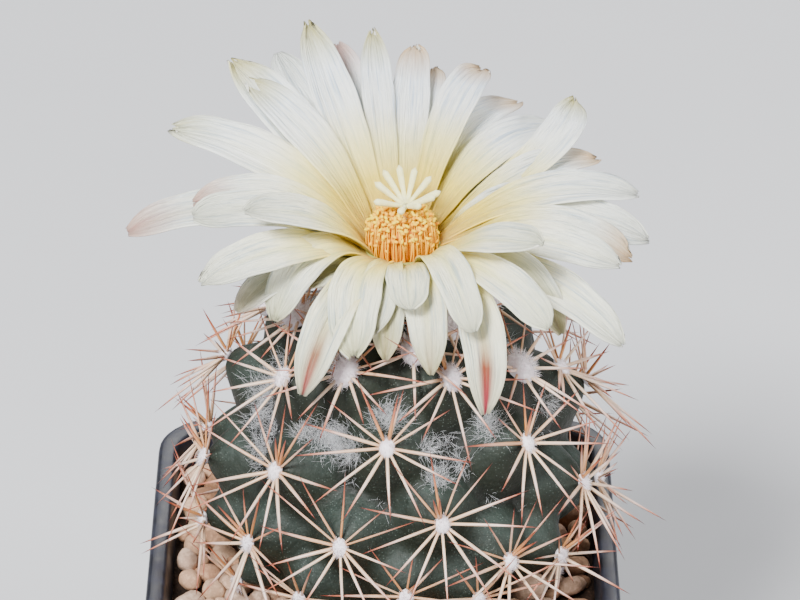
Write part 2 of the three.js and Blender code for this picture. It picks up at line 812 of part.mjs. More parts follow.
// An upright round hole for the pistil's style.
function styleHole() {
  const radius = PISTIL.styleRadius + 0.35;
  return solidOf(loft([
    circle(radius, PISTIL.foot - 0.35, ROUND / 2, FLOWER.x, FLOWER.y),
    circle(radius, PISTIL.stigmaHeight, ROUND / 2, FLOWER.x, FLOWER.y),
  ]));
}

// A filament from the core's foot to its anther.
function filament(azimuth, anther) {
  const outward = new THREE.Vector3(Math.cos(azimuth), Math.sin(azimuth), 0);
  const across = new THREE.Vector3(-Math.sin(azimuth), Math.cos(azimuth), 0);
  const foot = new THREE.Vector3(FLOWER.x, FLOWER.y, STAMENS.foot + 3.2).addScaledVector(outward, 3.5);
  return loft([foot, anther].map((p) => [
    p.clone().addScaledVector(outward, STAMENS.filament),
    p.clone().addScaledVector(across, STAMENS.filament),
    p.clone().addScaledVector(across, -STAMENS.filament),
  ]));
}

function makeStamens() {
  const { foot, top, anthers, spread } = STAMENS;
  const turned = (radius, z) => circle(radius, z, 12, FLOWER.x, FLOWER.y);
  const parts = [loft([
    turned(3.6, foot),
    turned(3.8, foot + 4),
    turned(4.5, top - 2.4),
    turned(4.3, top - 0.8),
    turned(2.6, top),
  ])];
  for (let i = 0; i < anthers; i += 1) {
    const share = Math.sqrt((i + 4) / (anthers + 4));
    const azimuth = i * GOLDEN_ANGLE * DEG;
    const z = top + 0.2 - 2.2 * share ** 4 + between(i, 1, -0.3, 0.4);
    const middle = new THREE.Vector3(FLOWER.x + spread * share * Math.cos(azimuth),
      FLOWER.y + spread * share * Math.sin(azimuth), z);
    const head = new THREE.OctahedronGeometry(1, 0);
    head.scale(STAMENS.anther, STAMENS.anther * 0.85, STAMENS.anther * 0.85);
    head.rotateZ(draw(i, 2) * 3);
    head.translate(middle.x, middle.y, middle.z);
    parts.push(head);
    if (share > 0.78) {
      parts.push(filament(azimuth, middle));
    }
  }
  return fuse(parts.map(solidOf)).subtract(styleHole());
}

// A stigma lobe: a three-sided club that rises from the star's middle.
function lobe(middle, azimuth, rise, length) {
  const across = new THREE.Vector3(-Math.sin(azimuth), Math.cos(azimuth), 0);
  const tangent = new THREE.Vector3(Math.cos(azimuth) * Math.cos(rise), Math.sin(azimuth) * Math.cos(rise),
    Math.sin(rise));
  const face = new THREE.Vector3().crossVectors(tangent, across);
  const ring = (distance, radius) => [30, 150, 270].map((corner) => middle.clone()
    .addScaledVector(tangent, distance)
    .addScaledVector(across, radius * Math.cos(corner * DEG))
    .addScaledVector(face, -radius * Math.sin(corner * DEG)));
  return loft([
    ring(0.3, PISTIL.lobeRadius * 0.65),
    ring(length * 0.85, PISTIL.lobeRadius),
    ring(length, 0.1).slice(0, 1),
  ]);
}

function makePistil() {
  const { foot, styleRadius, stigmaHeight, lobes, lobeLength } = PISTIL;
  const middle = new THREE.Vector3(FLOWER.x + PISTIL.stigmaAside, FLOWER.y, stigmaHeight);
  const parts = [loft([
    circle(styleRadius, foot, 8, FLOWER.x, FLOWER.y),
    circle(styleRadius, stigmaHeight - 1.2, 8, FLOWER.x, FLOWER.y),
    circle(styleRadius + 0.3, stigmaHeight, 8, middle.x, middle.y),
    circle(styleRadius, stigmaHeight + 0.6, 8, middle.x, middle.y),
  ])];
  for (let i = 0; i < lobes; i += 1) {
    const azimuth = ((i + between(i, 1, -0.2, 0.2)) / lobes) * 2 * Math.PI;
    const rise = (36 + 20 * Math.sin(azimuth) + between(i, 2, -6, 6)) * DEG;
    parts.push(lobe(middle, azimuth, rise, lobeLength * between(i, 3, 0.88, 1.08)));
  }
  return fuse(parts.map(solidOf));
}

const group = new THREE.Group();

function addNode(name, solid, colour, roughness) {
  const material = new THREE.MeshStandardMaterial({ color: colour, roughness });
  material.name = name;
  const mesh = new THREE.Mesh(geometryOf(solid), material);
  mesh.name = name;
  group.add(mesh);
}

addNode('pot', makePot(), 0x23242c, 0.55);
addNode('gravel', makeGravel(), 0xc9a487, 0.9);
addNode('stem', makeStem(), 0x4a5f52, 0.75);
addNode('flower', makeFlower(), 0xf3f1dc, 0.6);
addNode('stamens', makeStamens(), 0xf2a93c, 0.7);
addNode('pistil', makePistil(), 0xfaf5c8, 0.6);

export default group;
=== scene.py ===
"""A globular cactus with one open white flower, in a square plastic pot of gravel."""
import math
import random

import bmesh
import bpy
import numpy as np
from mathutils import Euler, Matrix, Vector, noise
from mathutils.bvhtree import BVHTree


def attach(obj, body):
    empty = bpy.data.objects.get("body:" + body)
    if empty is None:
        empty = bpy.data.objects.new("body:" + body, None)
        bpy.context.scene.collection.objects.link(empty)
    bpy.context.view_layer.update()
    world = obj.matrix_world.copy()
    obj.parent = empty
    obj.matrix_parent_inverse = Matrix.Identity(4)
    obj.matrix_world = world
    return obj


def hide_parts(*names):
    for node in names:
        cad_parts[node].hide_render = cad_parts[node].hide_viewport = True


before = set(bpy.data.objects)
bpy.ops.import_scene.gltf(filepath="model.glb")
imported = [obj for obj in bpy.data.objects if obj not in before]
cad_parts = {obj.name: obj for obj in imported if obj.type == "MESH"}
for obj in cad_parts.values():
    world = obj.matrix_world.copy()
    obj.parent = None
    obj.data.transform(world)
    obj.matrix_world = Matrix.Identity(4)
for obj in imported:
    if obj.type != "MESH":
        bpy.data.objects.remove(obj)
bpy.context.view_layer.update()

MM = 0.001
DEG = math.pi / 180
GOLDEN_ANGLE = 137.508
UP = Vector((0, 0, 1))

# Pot, in millimetres
RIM_WIDTH = 70
BASE_WIDTH = 54
POT_HEIGHT = 65
POT_WALL = 1.2
POT_FLOOR = 1.8
RIM_BAND = 1.7
RIM_DEPTH = 5
RIM_ROUND = 1.2
BASE_CORNER = 7
DRAIN_RADIUS = 2.4
DRAIN_SPREAD = 15

# Gravel: the bed's depth under the surface, and the sizes of pebbles with how often each is tried
GRAVEL_SURFACE = 60.6
BED_BELOW = 1.2
BED_CORNER = 7
CLEAR_OF_BODY = 20.5
PEBBLE_TRIES = [(3.1, 400), (2.5, 1500), (1.9, 3000), (1.3, 5000)]

# The larger pebbles that can be seen: the pixel and the radius of each.
PEBBLES_SEEN = [
    ((190, 580), 2.1), ((196, 546), 1.9), ((178, 560), 1.7), ((214, 590), 1.9),
    ((604, 566), 2.0), ((572, 586), 2.0), ((600, 530), 1.7), ((586, 546), 1.6),
]

# Cactus body: a plain core, and the egg that the areoles lie on
BODY_X = 2.6
BODY_Y = 2.0
CORE_RADIUS = 23
CORE_HALF_HEIGHT = 27.5
CORE_MIDDLE = 77
WIDEST = 29.5
EGG_ABOVE = 32
EGG_BELOW = 26
GROUND = 63
SPIRAL_START = -95
FIRST_AREOLE = -19
FIRST_BELOW_CROWN = -10
LAST_AREOLE = 32
CROWN_HEIGHT = 104
CROWN_STEP = 0.85
CROWN_NARROWING = 0.7
FULL_SIZE_RADIUS = 19
TUBERCLE = 7.9
SPINE_LENGTH = 13.5

# Flower: where its inner and its outer petals grow
FLOWER_X = 2.8
FLOWER_Y = 2.0
INNER_RADIUS = 5.1
INNER_HEIGHT = 113.6
OUTER_RADIUS = 5.5
OUTER_HEIGHT = 111.8
PETAL_LEAN = 31
PETAL_COLUMNS = 16
PETAL_ROWS = 28
PETAL_THICKNESS = 0.26
STIGMA_HEIGHT = 120.6
STIGMA_ASIDE = 0.6
STYLE_FOOT = 110.6
STAMEN_COUNT = 300
STAMEN_FOOT = 112.2
STAMEN_TOP = 119.9
STAMEN_SPREAD = 5.25

# The photograph's camera, also used to place what is known by the pixel where it is seen
AIM = Vector((2.5, 2, 105))
ELEVATION = 30 * DEG
DISTANCE = 646
FOCAL = 4424
IMAGE_WIDTH = 800
IMAGE_HEIGHT = 600
SENSOR_WIDTH = 36
AHEAD = Vector((0, math.cos(ELEVATION), -math.sin(ELEVATION)))
ABOVE = Vector((0, math.sin(ELEVATION), math.cos(ELEVATION)))
EYE = AIM - AHEAD * DISTANCE

# The areoles that can be seen, by their number on the spiral: the pixel of each.
AREOLES_SEEN = {
    -10: (519, 368),
    -8: (346, 371),
    -5: (450, 378),
    -3: (284, 378),
    0: (387, 448),
    2: (226, 355),
    3: (527, 443),
    5: (276, 471),
    6: (586, 379),
    8: (442, 524),
    10: (205, 457),
    11: (583, 482),
    13: (340, 547),
    16: (510, 561),
    18: (249, 543),
    21: (406, 597),
    23: (204, 519),
    24: (560, 555),
    26: (300, 599),
    29: (478, 599),
    31: (239, 582),
}


def shape(tip, height, arch, look="plain", knee=0.5, sway=0.0, width=None, outer=False):
    """A petal that can be seen: its tip's pixel, the tip's height and how far it arches."""
    return {"tip": tip, "height": height, "arch": arch, "look": look, "knee": knee, "sway": sway,
            "width": width or (4.6 if outer else 5.4), "outer": outer}


# The left side, from the front round to the back.
LEFT_PETALS = [
    shape((273, 325), 108, 0.38, "frayed", knee=0.4, width=6),
    shape((236, 313), 109, 0.2, "grey", outer=True),
    shape((199, 285), 117, 0.13, width=5.8),
    shape((192, 217), 122, 0.14, "cream"),
    shape((127, 233), 116, 0.16, "pink"),
    shape((243, 212), 126, 0.12, width=4.6),
    shape((192, 203), 121, 0.18, "pink"),
    shape((168, 128), 127, 0.12, "frayed", width=6.4),
]

# The back, from left to right.
BACK_PETALS = [
    shape((228, 58), 134, 0.05, "green", width=6.4),
    shape((243, 77), 132, 0.1, "green", width=5.8),
    shape((277, 52), 133, 0.03, "cream", width=5.8),
    shape((306, 20), 137, 0.03, "green", sway=0.02, width=6.2),
    shape((336, 43), 131, 0.03, "pink", width=5.8, outer=True),
    shape((372, 27), 134, 0.06, "green", sway=0.02, width=4.4),
    shape((391, 80), 125, 0.08, "peach", outer=True),
    shape((415, 43), 131, 0.08, "beige", width=5),
    shape((433, 66), 127, 0.12, "beige"),
    shape((484, 68), 127, 0.16, "beige", knee=0.6, width=5.6),
    shape((520, 103), 121, 0.14, "beige", knee=0.6, sway=0.07, width=5.6),
    shape((475, 158), 119, 0.1, "red", outer=True),
]

# The right side, from the back round to the front.
RIGHT_PETALS = [
    shape((558, 127), 118, 0.16, width=6),
    shape((575, 96), 124, 0.04, "green", knee=0.7, sway=-0.14, width=5.6),
    shape((600, 158), 118, 0.14, "beige", outer=True),
    shape((560, 155), 118, 0.06, width=4.8),
    shape((577, 190), 113, 0.14, "cream", width=5),
    shape((640, 195), 117, 0.14),
    shape((651, 241), 112, 0.16),
    shape((633, 260), 111, 0.22, "beige", outer=True),
    shape((622, 267), 115, 0.13, width=5.6),
    shape((542, 243), 125, 0.06, "cream", width=4.6),
    shape((625, 347), 106, 0.14, width=5.8),
    shape((562, 335), 107, 0.32, "olive", outer=True),
    shape((549, 328), 114, 0.15, "cream", width=5.6),
]

# The front, from right to left: these arch over the edge and hang.
FRONT_PETALS = [
    shape((485, 416), 99, 0.3, "crimson", knee=0.4, sway=0.07),
    shape((473, 333), 112, 0.32, "cream", knee=0.4, width=5),
    shape((431, 376), 105, 0.34, "stripe", knee=0.4),
    shape((410, 310), 115, 0.16, "cream", width=5.6),
    shape((385, 361), 106, 0.38, "olive", knee=0.4, outer=True),
    shape((374, 335), 110, 0.3, knee=0.4, width=5.2),
    shape((354, 362), 107, 0.34, "frayed", knee=0.4, sway=-0.08, width=6.8),
    shape((302, 396), 102, 0.28, "red", knee=0.4, sway=0.05),
    shape((303, 285), 114, 0.12, "olive", width=4, outer=True),
]

# Short outer petals that the others hide: an even row round the back and the sides.
HIDDEN_COUNT = 7
HIDDEN_FROM = 20
HIDDEN_TO = 200
HIDDEN_LENGTH = 16
HIDDEN_RISE = 20

# What each kind of tip carries, from 0 to 1: green, beige, pink, a red mark, the dull olive of an
# outer petal, frayed, and pointed.
TIPS = {
    "plain": (0.2, 0.15, 0.0, 0.0, 0.0, 0.5, 0.4),
    "frayed": (0.6, 0.1, 0.0, 0.0, 0.0, 1.0, 0.3),
    "grey": (0.2, 0.3, 0.3, 0.0, 0.7, 0.3, 0.4),
    "cream": (0.3, 0.1, 0.0, 0.0, 0.0, 0.2, 0.1),
    "pink": (0.0, 0.3, 0.7, 0.2, 0.0, 0.3, 0.3),
    "green": (1.0, 0.2, 0.0, 0.0, 0.0, 0.9, 0.6),
    "peach": (0.0, 0.8, 0.7, 0.0, 0.5, 0.2, 0.3),
    "beige": (0.1, 1.0, 0.2, 0.0, 0.0, 0.7, 0.1),
    "red": (0.4, 0.2, 0.1, 0.9, 0.2, 0.2, 0.5),
    "crimson": (0.4, 0.2, 0.1, 1.0, 0.0, 0.2, 0.5),
    "stripe": (0.7, 0.0, 0.2, 0.15, 0.0, 0.2, 0.6),
    "olive": (0.6, 0.4, 0.1, 0.3, 1.0, 0.2, 0.5),
}
TRAITS = ["green", "beige", "pink", "stripe", "outer", "fray"]


# Shapes shared by the pieces

def smooth(low, high, value):
    """0 below low, 1 above high and an even bend between."""
    t = min(1.0, max(0.0, (value - low) / (high - low)))
    return t * t * (3 - 2 * t)


def new_piece(name, bm, materials, nodes=(), shade_smooth=True):
    """Turns a bmesh in millimetres into a finished object that rides on the part."""
    bmesh.ops.scale(bm, vec=(MM, MM, MM), verts=bm.verts)
    mesh = bpy.data.meshes.new(name)
    bm.to_mesh(mesh)
    bm.free()
    for material in materials:
        mesh.materials.append(material)
    if shade_smooth:
        mesh.shade_smooth()
    piece = bpy.data.objects.new(name, mesh)
    bpy.context.scene.collection.objects.link(piece)
    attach(piece, "root")
    if nodes:
        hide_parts(*nodes)
    return piece


def value_layers(bm, names):
    """Named numbers kept on every vertex, which the materials read."""
    return {name: bm.verts.layers.float.new(name) for name in names}


def square_to(direction):
    """A unit direction square to this one."""
    helper = UP if abs(direction.z) < 0.9 else Vector((1, 0, 0))
    return direction.cross(helper).normalized()


class Tubes:
    """Closed tubes with the same sides and rings, rolled up together from one long grid."""

    def __init__(self, sides, rings):
        self.sides = sides
        self.rings = rings
        self.items = []

    def add(self, points, radii, **values):
        self.items.append((points, radii, values))

    def frames(self, points):
        """Two directions square to the tube at every ring, turned as little as may be."""
        first = None
        found = []
        for i in range(self.rings):
            step = points[min(i + 1, self.rings - 1)] - points[max(i - 1, 0)]
            tangent = step.normalized()
            if first is None:
                first = square_to(tangent)
            first = (first - tangent * first.dot(tangent)).normalized()
            found.append((first.copy(), tangent.cross(first)))
        return found

    def build(self, bm, layers=None):
        rows = len(self.items) * self.rings
        grid = bmesh.ops.create_grid(bm, x_segments=self.sides, y_segments=rows - 1, size=1)
        placed = {}
        for vert in grid["verts"]:
            column = round((vert.co.x + 1) / 2 * self.sides)
            placed.setdefault(round((vert.co.y + 1) / 2 * (rows - 1)), []).append((column, vert))
        between = set()
        for number, (points, radii, values) in enumerate(self.items):
            frames = self.frames(points)
            for ring in range(self.rings):
                a, b = frames[ring]
                for column, vert in placed[number * self.rings + ring]:
                    angle = 2 * math.pi * (column % self.sides) / self.sides
                    vert.co = points[ring] + radii[ring] * (a * math.cos(angle) + b * math.sin(angle))
                    if layers:
                        vert[layers["along"]] = ring / (self.rings - 1)
                    for name, value in values.items():
                        vert[layers[name]] = value
            if number:
                below = {vert for _, vert in placed[number * self.rings - 1]}
                for _, vert in placed[number * self.rings]:
                    between.update(face for face in vert.link_faces if below & set(face.verts))
        bmesh.ops.delete(bm, geom=list(between), context="FACES_ONLY")


def close_up(bm, distance=1e-4):
    """Joins the seams that rolling up a grid leaves, and turns every face outward."""
    bmesh.ops.remove_doubles(bm, verts=bm.verts, dist=distance)
    bmesh.ops.recalc_face_normals(bm, faces=bm.faces)


# Materials

class Paint:
    """A node tree with short ways to add nodes and join them, and its shader."""

    def __init__(self, tree, shader=None):
        self.tree = tree
        self.shader = shader

    def add(self, kind, inputs=None, **settings):
        made = self.tree.nodes.new(kind)
        for name, value in settings.items():
            setattr(made, name, value)
        for name, value in (inputs or {}).items():
            self.put(made.inputs[name], value)
        return made

    def put(self, socket, value):
        if isinstance(value, bpy.types.NodeSocket):
            self.tree.links.new(value, socket)
        else:
            socket.default_value = value

    def math(self, operation, a, b=0.0, clamp=False):
        return self.add("ShaderNodeMath", {0: a, 1: b}, operation=operation, use_clamp=clamp).outputs[0]

    def mix(self, factor, a, b, blend="MIX"):
        made = self.add("ShaderNodeMix", {0: factor, 6: a, 7: b}, data_type="RGBA", blend_type=blend)
        return made.outputs[2]

    def ramp(self, factor, stops):
        made = self.add("ShaderNodeValToRGB", {"Fac": factor})
        elements = made.color_ramp.elements
        while len(elements) < len(stops):
            elements.new(0.5)
        for element, (position, colour) in zip(elements, stops):
            element.position = position
            element.color = colour
        return made.outputs["Color"]

    def span(self, value, low, high, to_low=0.0, to_high=1.0):
        made = self.add("ShaderNodeMapRange", {"Value": value, "From Min": low, "From Max": high,
                                               "To Min": to_low, "To Max": to_high})
        return made.outputs["Result"]

    def noise(self, vector, scale, detail=3.0, rough=0.55):
        made = self.add("ShaderNodeTexNoise", {"Vector": vector, "Scale": scale, "Detail": detail,
                                               "Roughness": rough})
        return made.outputs["Fac"]

    def number(self, name):
        return self.add("ShaderNodeAttribute", attribute_name=name).outputs["Fac"]

    def place(self):
        return self.add("ShaderNodeTexCoord").outputs["Object"]

    def bump(self, height, strength, distance):
        made = self.add("ShaderNodeBump", {"Height": height, "Strength": strength, "Distance": distance})
        return made.outputs["Normal"]

    def finish(self, colour, height, strength, distance, roughness=None):
        """Gives the shader its colour, its bump and, where it varies, its roughness."""
        self.put(self.shader.inputs["Base Color"], colour)
        self.put(self.shader.inputs["Normal"], self.bump(height, strength, distance))
        if roughness is not None:
            self.put(self.shader.inputs["Roughness"], roughness)


def rgb(red, green, blue):
    """A colour given as it looks on a screen, 0 to 255, as the shader wants it."""
    def linear(c):
        c /= 255
        return c / 12.92 if c <= 0.04045 else ((c + 0.055) / 1.055) ** 2.4
    return (linear(red), linear(green), linear(blue), 1.0)


def new_material(name, constants):
    """A material whose plain settings sit on the shader, and a Paint to colour it with."""
    material = bpy.data.materials.new(name)
    material.use_nodes = True
    tree = material.node_tree
    shader = tree.nodes["Principled BSDF"]
    for key, value in constants.items():
        shader.inputs[key].default_value = value
    return material, Paint(tree, shader)


def mottle_group():
    """Two sizes of soft blotches from the object's own coordinates, as one value."""
    tree = bpy.data.node_groups.new("mottle", "ShaderNodeTree")
    tree.interface.new_socket("Coarse", in_out="INPUT", socket_type="NodeSocketFloat")
    tree.interface.new_socket("Fine", in_out="INPUT", socket_type="NodeSocketFloat")
    tree.interface.new_socket("Value", in_out="OUTPUT", socket_type="NodeSocketFloat")
    paint = Paint(tree)
    ends = paint.add("NodeGroupInput")
    out = paint.add("NodeGroupOutput")
    place = paint.place()
    coarse = paint.noise(place, ends.outputs["Coarse"], 2)
    fine = paint.noise(place, ends.outputs["Fine"], 4)
    both = paint.math("ADD", paint.math("MULTIPLY", coarse, 0.6), paint.math("MULTIPLY", fine, 0.4))
    tree.links.new(both, out.inputs["Value"])
    return tree


MOTTLE = mottle_group()


def mottle(paint, coarse, fine):
    made = paint.add("ShaderNodeGroup", node_tree=MOTTLE)
    made.inputs["Coarse"].default_value = coarse
    made.inputs["Fine"].default_value = fine
    return made.outputs["Value"]


def streaks(paint, length, across):
    """Broad and fine streaks that run down a petal, each petal's its own."""
    seed = paint.math("MULTIPLY", paint.number("tint"), 40.0)
    found = []
    for wide, long in ((2.4, 0.9), (7.0, 2.0)):
        place = paint.add("ShaderNodeCombineXYZ", {
            0: paint.math("MULTIPLY", across, wide), 1: paint.math("MULTIPLY", length, long), 2: seed})
        found.append(paint.noise(place.outputs[0], 3.0, 4, 0.6))
    return found


def petal_material():
    """Silky white: yellow in the throat, streaked along its length with painted shade in broad bluish
    streaks, tinted at the tip.
    """
    material, paint = new_material("petal", {
        "Roughness": 0.42, "Subsurface Weight": 0.12, "Subsurface Scale": 0.0012,
        "Subsurface Radius": (1.0, 1.0, 0.95), "Specular IOR Level": 0.4, "Sheen Weight": 0.1,
    })
    length = paint.number("along")
    across = paint.number("across")
    aside = paint.math("ABSOLUTE", across)
    broad, fine = streaks(paint, length, across)
    body = paint.ramp(length, [
        (0.0, rgb(196, 148, 26)), (0.1, rgb(232, 194, 60)), (0.24, rgb(246, 218, 88)),
        (0.4, rgb(252, 241, 168)), (0.58, rgb(249, 251, 244)), (1.0, rgb(230, 241, 255)),
    ])
    warm = paint.number("warm")
    body = paint.mix(paint.math("MULTIPLY", warm, 0.7), body, rgb(253, 244, 196), "MULTIPLY")
    rib = paint.math("MULTIPLY", paint.span(aside, 0.3, 0.02), paint.span(length, 0.95, 0.6))
    rib = paint.math("MULTIPLY", rib, paint.math("MULTIPLY", warm, 0.5), clamp=True)
    body = paint.mix(rib, body, rgb(226, 222, 140))
    # Painted shade: bluish grey multiplied into the broad lengthwise streaks, deeper toward the outer half.
    shade = paint.math("MULTIPLY", paint.span(broad, 0.5, 0.68), paint.span(length, 0.2, 0.6, 0.3, 0.9))
    body = paint.mix(shade, body, rgb(186, 202, 226), "MULTIPLY")
    thin = paint.math("MULTIPLY", paint.span(fine, 0.48, 0.7), 0.4)
    body = paint.mix(thin, body, rgb(224, 224, 212), "MULTIPLY")
    tip = paint.math("MULTIPLY", paint.span(length, 0.76, 0.98), paint.math("ADD", broad, 0.5), clamp=True)
    for name, colour in (("green", rgb(192, 190, 112)), ("beige", rgb(204, 172, 122)),
                         ("pink", rgb(198, 142, 120))):
        amount = paint.math("MULTIPLY", tip, paint.number(name), clamp=True)
        body = paint.mix(amount, body, colour)
    torn = paint.math("MULTIPLY", paint.span(length, 0.82, 1.0), paint.span(fine, 0.5, 0.6), clamp=True)
    torn = paint.math("MULTIPLY", torn, paint.math("MULTIPLY", paint.number("fray"), 0.7), clamp=True)
    body = paint.mix(torn, body, rgb(190, 180, 140))
    mark = paint.math("MULTIPLY", paint.span(length, 0.62, 0.82), paint.span(aside, 0.55, 0.12))
    mark = paint.math("MULTIPLY", mark, paint.number("stripe"))
    mark = paint.math("MULTIPLY", mark, paint.math("ADD", broad, 0.55), clamp=True)
    body = paint.mix(mark, body, paint.ramp(length, [
        (0.66, rgb(160, 120, 54)), (0.82, rgb(136, 62, 34)), (0.95, rgb(156, 34, 54))]))
    dull = paint.math("MULTIPLY", paint.number("outer"), paint.math("ADD", broad, 0.1))
    dull = paint.math("MULTIPLY", dull, paint.span(aside, 1.0, 0.45), clamp=True)
    body = paint.mix(dull, body, rgb(168, 166, 112))
    height = paint.math("ADD", broad, paint.math("MULTIPLY", fine, 0.3))
    paint.finish(body, height, 0.9, 0.0008)
    return material


def petal_back_material():
    """The undersides: duller, with a broad green to rosy band down the middle of outer petals."""
    material, paint = new_material("petal_back", {
        "Roughness": 0.6, "Subsurface Weight": 0.3, "Subsurface Scale": 0.0015,
        "Subsurface Radius": (1.0, 0.9, 0.7), "Specular IOR Level": 0.25,
    })
    length = paint.number("along")
    across = paint.number("across")
    broad, fine = streaks(paint, length, across)
    body = paint.ramp(length, [
        (0.0, rgb(150, 142, 54)), (0.25, rgb(206, 202, 138)), (0.6, rgb(232, 232, 214)),
        (1.0, rgb(230, 226, 210)),
    ])
    thin = paint.math("MULTIPLY", paint.span(fine, 0.45, 0.7), 0.5)
    body = paint.mix(thin, body, rgb(214, 210, 190), "MULTIPLY")
    band = paint.span(paint.math("ABSOLUTE", across), 0.75, 0.3)
    amount = paint.math("MULTIPLY", band, paint.math("ADD", paint.number("outer"), 0.12))
    amount = paint.math("MULTIPLY", amount, paint.math("ADD", broad, 0.35), clamp=True)
    body = paint.mix(amount, body, paint.ramp(length, [
        (0.2, rgb(120, 128, 62)), (0.6, rgb(158, 134, 88)), (0.9, rgb(160, 100, 80))]))
    paint.finish(body, broad, 0.5, 0.0006)
    return material


def skin_material():
    """Dull bluish green, mottled and with pale specks; painted light makes each tubercle's upper flank
    lighter and its lower flank darker olive, and painted shade darkens the creases.
    """
    material, paint = new_material("cactus_skin", {"Specular IOR Level": 0.35})
    blotch = mottle(paint, 180.0, 900.0)
    # Painted light: each tubercle's upper flank is painted lighter and bluer, its lower flank darker olive;
    # the blotches are the skin's own mottling.
    upper = paint.number("upper")
    light = paint.math("ADD", paint.math("MULTIPLY", upper, 0.6), paint.math("MULTIPLY", blotch, 0.7))
    base = paint.ramp(light, [
        (0.2, rgb(16, 19, 8)), (0.5, rgb(24, 30, 18)), (0.75, rgb(31, 39, 31)), (1.0, rgb(45, 56, 50)),
    ])
    place = paint.place()
    specks = paint.add("ShaderNodeTexVoronoi", {"Vector": place, "Scale": 2600.0})
    dots = paint.span(specks.outputs["Distance"], 0.28, 0.12)
    spread = paint.span(paint.noise(place, 420.0, 4), 0.4, 0.6)
    dots = paint.math("MULTIPLY", dots, spread, clamp=True)
    base = paint.mix(paint.math("MULTIPLY", dots, 0.55), base, rgb(112, 126, 118))
    # Painted shade: near-black in the creases between tubercles.
    base = paint.mix(paint.math("MULTIPLY", paint.number("crease"), 0.8), base, rgb(9, 12, 7))
    paint.finish(base, paint.noise(place, 1400.0, 5), 0.6, 0.0004, paint.span(blotch, 0.3, 0.7, 0.5, 0.68))
    return material


def spine_material():
    """Amber at the root, straw to rosy white along the shaft, reddish brown at the point."""
    material, paint = new_material("spine", {
        "Roughness": 0.32, "Specular IOR Level": 0.55, "Subsurface Weight": 0.15,
        "Subsurface Scale": 0.0006, "Subsurface Radius": (1.0, 0.85, 0.7),
    })
    length = paint.number("along")
    pale = paint.ramp(length, [
        (0.0, rgb(186, 96, 24)), (0.1, rgb(214, 146, 78)), (0.22, rgb(230, 200, 168)),
        (0.55, rgb(232, 206, 192)), (0.76, rgb(196, 126, 98)), (0.9, rgb(126, 46, 32)),
        (1.0, rgb(66, 20, 14)),
    ])
    brown = paint.ramp(length, [
        (0.0, rgb(190, 104, 26)), (0.3, rgb(204, 138, 74)), (0.65, rgb(178, 92, 56)), (0.9, rgb(120, 42, 28)),
        (1.0, rgb(76, 24, 18)),
    ])
    colour = paint.mix(paint.number("tint"), pale, brown)
    fine = mottle(paint, 900.0, 5000.0)
    colour = paint.mix(paint.math("MULTIPLY", fine, 0.35), colour, rgb(190, 170, 160), "MULTIPLY")
    paint.finish(colour, fine, 0.2, 0.0001)
    return material


def wool_material(name, light, dark):
    """Matted plant wool."""
    material, paint = new_material(name, {
        "Roughness": 0.85, "Subsurface Weight": 0.3, "Subsurface Scale": 0.001,
        "Subsurface Radius": (1.0, 0.95, 0.95), "Sheen Weight": 0.3, "Specular IOR Level": 0.2,
    })
    fluff = mottle(paint, 1500.0, 7000.0)
    paint.finish(paint.mix(paint.span(fluff, 0.35, 0.65), dark, light), fluff, 0.5, 0.0003)
    return material


def stamen_material(name, root, middle, top):
    """Filaments or anthers, coloured along their length and powdered."""
    material, paint = new_material(name, {
        "Roughness": 0.6, "Subsurface Weight": 0.1, "Subsurface Scale": 0.0006,
        "Subsurface Radius": (1.0, 0.9, 0.4), "Specular IOR Level": 0.2,
    })
    colour = paint.ramp(paint.number("along"), [(0.0, root), (0.5, middle), (1.0, top)])
    powder = mottle(paint, 2500.0, 9000.0)
    colour = paint.mix(paint.math("MULTIPLY", powder, 0.3), colour, rgb(252, 226, 140), "MULTIPLY")
    paint.finish(colour, powder, 0.4, 0.0002)
    return material


def pebble_material():
    """Dry tan and peach pebbles, each its own shade, dusty and pitted."""
    material, paint = new_material("pebble", {"Specular IOR Level": 0.25})
    grain = mottle(paint, 350.0, 1800.0)
    shade = paint.ramp(paint.number("tint"), [
        (0.0, rgb(150, 112, 84)), (0.25, rgb(196, 152, 120)), (0.5, rgb(212, 176, 144)),
        (0.75, rgb(222, 186, 160)), (1.0, rgb(190, 168, 148)),
    ])
    colour = paint.mix(paint.span(grain, 0.35, 0.7), shade, rgb(120, 92, 74), "MULTIPLY")
    colour = paint.mix(paint.span(grain, 0.5, 0.62), colour, shade)
    paint.finish(colour, grain, 0.5, 0.0006, paint.span(grain, 0.3, 0.7, 0.75, 0.95))
    return material


def soil_material():
    """The dark grit under the pebbles."""
    material, paint = new_material("soil", {"Roughness": 0.95, "Specular IOR Level": 0.1})
    grain = mottle(paint, 400.0, 2200.0)
    paint.finish(paint.ramp(grain, [
        (0.3, rgb(26, 20, 16)), (0.6, rgb(62, 46, 36)), (0.8, rgb(110, 84, 66))]), grain, 0.8, 0.001)
    return material


